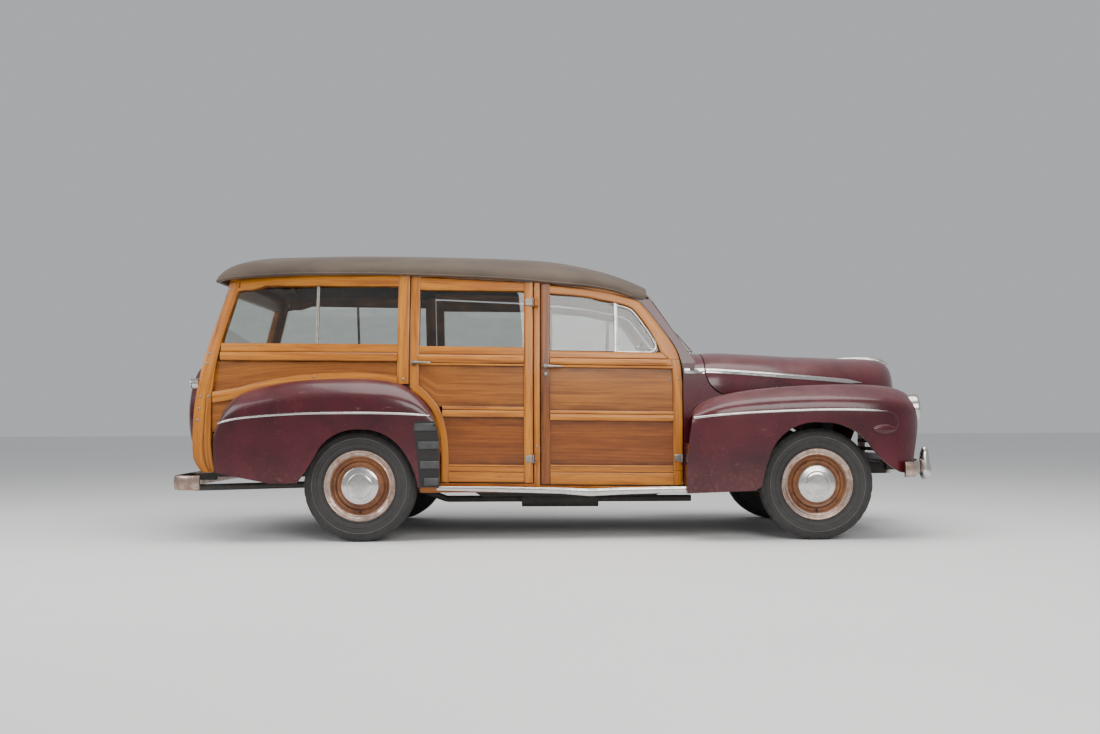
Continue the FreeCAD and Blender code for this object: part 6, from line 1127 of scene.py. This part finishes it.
DISC = mm([(225, 58), (214, 56), (205, 40), (196, 20), (192, -10), (205, -45), (214, -56), (225, -60),
           (225, -56), (212, -50), (200, -40), (187, -10), (187, 20), (180, 40), (160, 26), (140, 24),
           (120, 32), (100, 36), (70, 36), (70, 42), (100, 48), (118, 50), (123, 47), (129, 42), (134, 40),
           (140, 42.5), (146, 43.5), (150, 41), (153, 34), (160, 29), (168, 30), (175, 38), (180, 48),
           (184, 52), (200, 54.5), (225, 58)])
CAP = mm([(115, 44), (118.5, 50), (117, 54.5), (111, 57.5), (98, 59.8), (86, 62), (79, 64), (77, 63.2),
          (75.5, 64), (72, 65.8), (56, 67.2), (34, 68.2), (16, 68.7), (0.5, 69)])
VALVE_STEM = mm([(0, 0), (10, 3), (16, 6)])
VALVE_OUT, VALVE_DROP, WHEEL_Z = 0.0425, 0.165, 0.355
WHEEL_PLACES = (("front", 1.640, 0.7365), ("rear", -1.256, 0.7620))
WHEEL_PARTS = (
    ("tyre_skin", TYRE, 192, RUBBER, "tyre", "tyre", 30, tread),
    ("tyre_line", TYRE_LINE, 128, LINE, "tyre", None, 38, None),
    ("trim_ring", TRIM_RING, 128, TIRED, "bright_metal", "wheel", 38, None),
    ("wheel_disc", DISC, 112, RUST, "wheel_paint", None, 38, None),
    ("wheel_cap", CAP, 112, CHROME, "bright_metal", None, 38, None))
for side, word in SIDES:
    for end, x, w in WHEEL_PLACES:
        place, body = f"{end}_{word}", f"wheel_{end}_{word}"
        centre = Vector((x, side * w, WHEEL_Z))
        for part, profile, count, material, slot, solid, crease, wave in WHEEL_PARTS:
            turned_piece(f"{part}_{place}", profile, centre, (0, side, 0), count, material, body, slot,
                         (f"{solid}_{place}",) if solid else (), crease, wave)
        valve = Form()
        hole = centre + Vector((0, side * VALVE_OUT, -VALVE_DROP))
        dome(valve, hole, (0, side, 0), 0.0075, 0.003, 14, 3)
        stem = [hole + Vector((0, side * out, -drop)) for out, drop in VALVE_STEM]
        tube(valve, stem, [0.004, 0.004, 0.003], 8)
        valve.piece(f"valve_{place}", DARK, body, "tyre")


# Cushions, swollen by cloth and then sewn in channels
CUSHION_CELL = 0.016
CUSHION_CAP = 0.020
CHANNEL_STEP = 0.074
CHANNEL_DEPTH = 0.009
CHANNEL_HALF = 0.010
WELT_DEPTH = 0.008
WELT_HALF = 0.007
TUCK = 0.030
CORNER_SHARE = 0.26
SWELL_PRESSURE, SWELL_FRAMES = 4.0, 20
CROWN = 0.012
TOP_BULGE, SIDE_BULGE = 0.006, 0.002
EDGE_SHARE, CHANNEL_MARGIN = 0.30, 0.03
FACE_SHARE, WELT_LENGTH_SHARE, WELT_WIDTH_SHARE = 0.40, 0.44, 0.48


def cushion(name, length, width, height, centre, lean):
    """A closed crowned cushion: length along the car, width across it, leaned about Y, with sewn channels."""
    work = bmesh.new()
    bmesh.ops.create_cube(work, size=1.0)
    bmesh.ops.scale(work, vec=(length - TUCK, width - TUCK, height - TUCK), verts=work.verts)
    bmesh.ops.bevel(work, geom=work.edges[:] + work.verts[:], offset=min(height, length) * CORNER_SHARE,
                    segments=4, profile=0.6, affect="EDGES")
    mesh = bpy.data.meshes.new(name)
    work.to_mesh(mesh)
    work.free()
    made = bpy.data.objects.new(name, mesh)
    bpy.context.scene.collection.objects.link(made)
    remesh = made.modifiers.new("Cells", "REMESH")
    remesh.mode = "VOXEL"
    remesh.voxel_size = CUSHION_CELL
    settle(made)
    start = [vertex.co.copy() for vertex in made.data.vertices]
    swell = made.modifiers.new("Swell", "CLOTH")
    swell.settings.use_pressure = True
    swell.settings.uniform_pressure_force = SWELL_PRESSURE
    swell.settings.quality = 4
    swell.settings.effector_weights.gravity = 0.0
    swell.point_cache.frame_start = 1
    swell.point_cache.frame_end = SWELL_FRAMES
    for step in range(1, SWELL_FRAMES + 1):
        bpy.context.scene.frame_set(step)
        made.evaluated_get(bpy.context.evaluated_depsgraph_get())
    settle(made)
    bpy.context.scene.frame_set(1)
    moved = [vertex.co.copy() for vertex in made.data.vertices]
    for vertex, before, after in zip(made.data.vertices, start, moved):
        step = after - before
        if step.length > CUSHION_CAP:
            step *= CUSHION_CAP / step.length
        spot = before + step
        round_x = 1 - min(1.0, abs(spot.x) / (length / 2)) ** 2
        round_y = 1 - min(1.0, abs(spot.y) / (width / 2)) ** 6
        if spot.z > 0:
            spot.z += CROWN * round_x * round_y * min(1.0, spot.z / (height * EDGE_SHARE))
        spot.z = min(spot.z, height / 2 + TOP_BULGE)
        spot.x = max(-length / 2 - SIDE_BULGE, min(length / 2 + SIDE_BULGE, spot.x))
        spot.y = max(-width / 2 - SIDE_BULGE, min(width / 2 + SIDE_BULGE, spot.y))
        vertex.co = spot
    finer = made.modifiers.new("Finer", "SUBSURF")
    finer.levels = 1
    finer.render_levels = 1
    settle(made)
    edge = height * EDGE_SHARE
    for vertex in made.data.vertices:
        spot = vertex.co
        if spot.z > -edge and abs(spot.y) < width / 2 - CHANNEL_MARGIN:
            near = (spot.y / CHANNEL_STEP + 0.5) % 1.0 - 0.5
            depth = CHANNEL_DEPTH * math.exp(-(near * CHANNEL_STEP / CHANNEL_HALF) ** 2 * 2)
            if spot.z > edge * 0.4:
                spot.z -= depth
            if abs(spot.x) > length * FACE_SHARE:
                spot.x -= math.copysign(depth * 0.7, spot.x)
        welt = math.exp(-((spot.z - edge * 0.5) / WELT_HALF) ** 2)
        if abs(spot.x) > length * WELT_LENGTH_SHARE or abs(spot.y) > width * WELT_WIDTH_SHARE:
            out = Vector((spot.x / length, spot.y / width, 0)).normalized()
            spot -= out * WELT_DEPTH * welt * 0.6
    made.data.transform(Matrix.Translation(Vector(centre)) @ Matrix.Rotation(lean, 4, "Y"))
    made.data.shade_smooth()
    made.data.materials.clear()
    made.data.materials.append(HIDE)
    return made


def settle(made):
    """Applies the modifiers to the mesh, so none is left on the piece."""
    bpy.context.view_layer.update()
    solid = bpy.data.meshes.new_from_object(made.evaluated_get(bpy.context.evaluated_depsgraph_get()))
    made.modifiers.clear()
    made.data = solid


def rounded_block(form, low, high, ease):
    """A block with eased edges."""
    work = bmesh.new()
    bmesh.ops.create_cube(work, size=1.0)
    size = Vector(high) - Vector(low)
    bmesh.ops.scale(work, vec=size, verts=work.verts)
    bmesh.ops.translate(work, vec=(Vector(low) + Vector(high)) / 2, verts=work.verts)
    bmesh.ops.bevel(work, geom=work.edges[:] + work.verts[:], offset=ease, segments=3, profile=0.5,
                    affect="EDGES")
    work.verts.index_update()
    form.add([vertex.co for vertex in work.verts],
             [[corner.index for corner in face.verts] for face in work.faces])
    work.free()


# Bumpers: crowned bars with guards and brackets
def plan_line(form, line, low, high, out, section, depth):
    """A bar that follows a line of X and W in plan; out is 1 where its outside lies to the right."""
    runs = [0.0]
    for (x0, w0), (x1, w1) in zip(line, line[1:]):
        runs.append(runs[-1] + math.hypot(x1 - x0, w1 - w0))

    def lay(run, z):
        last = len(line) - 2
        index = max(0, min(last, next((at for at, end in enumerate(runs[1:]) if run <= end), last)))
        share = (run - runs[index]) / (runs[index + 1] - runs[index])
        spot = Vector(line[index]).lerp(Vector(line[index + 1]), share)
        before, after = Vector(line[max(index - 1, 0)]), Vector(line[min(index + 2, len(line) - 1)])
        way = (after - before).normalized()
        return Vector((spot.x, spot.y, z)), Vector((way.y, -way.x, 0)) * out

    band(form, [(run, low) for run in runs], [(run, high) for run in runs], section, depth, lay)


def bumper_line(node, way, probe, ends):
    """The plan of a bumper bar, read off its solid between the guards and closed by its wrapped ends."""
    lay = on_nodes(way, node)
    spots = [(lay(w, probe)[0].x, w) for w in (0.0, 0.12, 0.24, 0.52, 0.62, 0.72, 0.80, 0.85)]
    half = [(spot.x, spot.y) for spot in spline(spots + ends)]
    return [(x, -w) for x, w in half[:0:-1]] + half


GUARD_PATH = mm([(2453, 357), (2456, 372), (2460, 398), (2458, 430), (2453, 480), (2452, 530), (2455, 562),
                 (2456, 575)])
GUARD_RADII = [0.012, 0.028, 0.038, 0.038, 0.033, 0.028, 0.021, 0.008]
GUARD_W = 0.400
BUMPERS = (("front_bumper", BACKWARD, 0.450, [(2.232, 0.889), (2.166, 0.898)], 0.402, 0.498, 1, 0.016),
           ("rear_bumper", FORWARD, 0.381, [(-2.330, 0.892), (-2.242, 0.898)], 0.335, 0.428, -1, 0.012))
IRONS, IRON_HALF = ((2.190, 2.430, GUARD_W, 0.425, 0.475), (-2.440, -2.280, 0.440, 0.375, 0.420)), 0.020
for node, way, probe, ends, low, high, out, crown in BUMPERS:
    bar = Form()
    face = round_section(crown, -0.006, 13, 0.8)
    plan_line(bar, bumper_line(node, way, probe, ends), low, high, out, face, 0.010)
    bar.piece(f"{node}_bar", TIRED, "body", "bright_metal", (node,))
guards, irons = Form(), Form()
for side, word in SIDES:
    tube(guards, [(x, side * GUARD_W, z) for x, z in GUARD_PATH], GUARD_RADII, 24, squeeze=1.05)
    for x0, x1, w, low, high in IRONS:
        rounded_block(irons, (x0, side * w - IRON_HALF, low), (x1, side * w + IRON_HALF, high), 0.006)
guards.piece("bumper_guards", CHROME, "body", "bright_metal")
irons.piece("bumper_irons", BLACK, "body", "black_paint")

# Seats: three rows on plain bases, by front edge, floor and width
SEATS = (("front_seat", 0.350, 0.408, 1.240), ("middle_seat", -0.520, 0.572, 1.200),
         ("third_seat", -1.300, 0.572, 1.200))
SEAT_BASE, SEAT_CUSHION, SEAT_DEPTH, SEAT_THICK = 0.150, 0.170, 0.500, 0.130
SEAT_BACK, SEAT_LEAN = 0.560, math.radians(9.5)
BACK_INSET, BACK_BEHIND, BASE_BEHIND, BASE_INSET, BASE_FRONT, BASE_TOP = 0.03, 0.095, 0.075, 0.02, 0.03, 0.012
for name, x, floor, width in SEATS:
    low = floor + SEAT_BASE
    seat = cushion(f"{name}_cushion", SEAT_DEPTH, width, SEAT_CUSHION,
                   (x - SEAT_DEPTH / 2, 0, low + SEAT_CUSHION / 2), 0.0)
    back = cushion(f"{name}_back", SEAT_BACK - BACK_INSET, width, SEAT_THICK,
                   (x - SEAT_DEPTH - BACK_BEHIND, 0, low + SEAT_BACK / 2 + BASE_TOP),
                   -math.pi / 2 - SEAT_LEAN)
    for piece in (seat, back):
        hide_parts(name)
        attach(piece, "body")
    base = Form()
    half = width / 2 - BASE_INSET
    rounded_block(base, (x - SEAT_DEPTH - BASE_BEHIND, -half, floor), (x - BASE_FRONT, half, low + BASE_TOP),
                  0.008)
    base.piece(f"{name}_base", TRIM, "body", "seat_hide")

# Dashboard: gauges, a glove box lid and knobs
GAUGE_X, GAUGE_Z, KNOB_Z = 0.688, 1.035, 0.955
GAUGES, KNOBS = ((0.37, 0.060), (0.235, 0.042), (0.505, 0.042)), (0.10, 0.04, -0.02, -0.08)
LID_HALF, LID_LOW, LID_HIGH = 0.004, (-0.55, 0.955), (-0.22, 1.085)
KNOB = mm([(4, 0), (4, 12), (12, 14), (13, 22), (8, 26), (0.5, 27)])
gauges, faces, lid = Form(), Form(), Form()
for w, radius in GAUGES:
    turned(gauges, [(radius, 0.0), (radius + 0.004, 0.003), (radius + 0.002, 0.008), (radius - 0.004, 0.008),
                    (radius - 0.007, 0.002)], (GAUGE_X + 0.003, w, GAUGE_Z), BACKWARD, 40)
    turned(faces, [(radius - 0.006, 0.0), (radius * 0.5, 0.0012), (0.006, 0.0016), (0.005, 0.004),
                   (0.0005, 0.005)], (GAUGE_X + 0.002, w, GAUGE_Z), BACKWARD, 40)
for w in KNOBS:
    turned(gauges, KNOB, (GAUGE_X + 0.003, w, KNOB_Z), BACKWARD, 20)
gauges.piece("gauge_rims", CHROME, "body", "bright_metal")
faces.piece("gauge_faces", CREAM, "body", "body_paint")
rounded_block(lid, (GAUGE_X - LID_HALF, *LID_LOW), (GAUGE_X + LID_HALF, *LID_HIGH), 0.003)
lid.piece("glove_lid", TRIM, "body", "body_paint")

# Horn ring on the steering wheel and the inside mirror
HORN_RADIUS, HORN_ROD, HORN_LIFT = 0.125, 0.0035, 0.012
STEERING_HUB = Vector((0.430, 0.370, 1.040))
horn = Form()
axis, across = Vector((-0.77686, 0, 0.62967)), Vector((0, 1, 0))
upward = axis.cross(across)
hub = STEERING_HUB + axis * HORN_LIFT
tube(horn, [hub + (across * math.cos(angle) + upward * math.sin(angle)) * HORN_RADIUS
            for angle in evenly(0, 2 * math.pi, 49)[:-1]], HORN_ROD, 8, closed=True)
for way in (across, -across):
    tube(horn, [hub + way * reach for reach in (0.02, 0.07, HORN_RADIUS)], HORN_ROD, 8)
horn.piece("horn_ring", CHROME, "steering_wheel", "bright_metal")
MIRROR_SPOT, MIRROR_HALF = Vector((0.610, 0.0, 1.545)), Vector((0.008, 0.095, 0.026))
MIRROR_ARM = mm([(4, 0, 20), (20, 0, 55), (30, 0, 80)])
mirror = Form()
rounded_block(mirror, MIRROR_SPOT - MIRROR_HALF, MIRROR_SPOT + MIRROR_HALF, 0.006)
tube(mirror, [MIRROR_SPOT + Vector(away) for away in MIRROR_ARM], 0.005, 8)
mirror.piece("inside_mirror", STEEL, "body", "bright_metal")

# Beads on the cover of the spare wheel
SPARE_CENTRE = (-2.5115, 0, 0.803)
spare = Form()
turned(spare, mm([(262, 0), (266, 4), (272, 4), (276, 0)]), SPARE_CENTRE, BACKWARD, 96)
turned(spare, mm([(48, -2), (50, 3), (44, 7), (20, 9), (0.5, 9.5)]), SPARE_CENTRE, BACKWARD, 48)
spare.piece("spare_beads", CHROME, "spare", "bright_metal")

# Floor, backdrop, lights and camera
REACH = 40.0
floor_mesh = bpy.data.meshes.new("studio_floor")
floor_mesh.from_pydata([(-REACH, -REACH, 0), (REACH, -REACH, 0), (REACH, REACH, 0), (-REACH, REACH, 0)], [],
                       [(0, 1, 2, 3)])
floor_shader = Shader("studio_floor_finish", Roughness=0.85)
floor_cloud = floor_shader.noise(floor_shader.place("Object", (0.4, 0.4, 0.4)), 1.0)
floor_shader.colour(floor_shader.ramp(floor_cloud, (0.3, 0.80), (0.7, 0.83)))
floor_mesh.materials.append(floor_shader.material)
floor = bpy.data.objects.new("studio_floor", floor_mesh)
bpy.context.scene.collection.objects.link(floor)

world = bpy.data.worlds.new("studio")
bpy.context.scene.world = world
world.use_nodes = True
sky = world.node_tree.nodes["Background"]
sky.inputs["Color"].default_value = (0.95, 0.97, 1.0, 1.0)
sky.inputs["Strength"].default_value = 0.50


def lamp(name, place, aim, width, height, power, tint=(1, 1, 1)):
    light = bpy.data.lights.new(name, "AREA")
    light.shape = "RECTANGLE"
    light.size, light.size_y = width, height
    light.energy = power
    light.color = tint
    made = bpy.data.objects.new(name, light)
    made.location = place
    made.rotation_euler = (Vector(aim) - Vector(place)).to_track_quat("-Z", "Y").to_euler()
    bpy.context.scene.collection.objects.link(made)


lamp("top_light", (0.5, -1.5, 6.0), (0.0, 0.0, 0.6), 7.0, 4.0, 430.0, (1.0, 0.97, 0.93))
lamp("side_light", (2.5, -8.0, 4.0), (0.0, 0.0, 0.8), 5.0, 3.0, 330.0, (1.0, 0.98, 0.95))
lamp("rear_light", (-6.0, -3.0, 3.5), (-1.0, 0.0, 0.9), 4.0, 3.0, 150.0)

CAMERA_SPOT, CAMERA_ROLL = (0.036, -7.577, 0.785), math.radians(-0.22)
camera_data = bpy.data.cameras.new("photo_camera")
camera_data.lens = 35.0
camera_data.sensor_width = 36.0
camera_data.shift_x = -0.0127
camera_data.shift_y = 0.0455
camera_data.clip_end = 200.0
camera = bpy.data.objects.new("photo_camera", camera_data)
camera.matrix_world = (Matrix.Translation(CAMERA_SPOT) @ Matrix.Rotation(math.pi / 2, 4, "X")
                       @ Matrix.Rotation(CAMERA_ROLL, 4, "Z"))
bpy.context.scene.collection.objects.link(camera)
bpy.context.scene.camera = camera
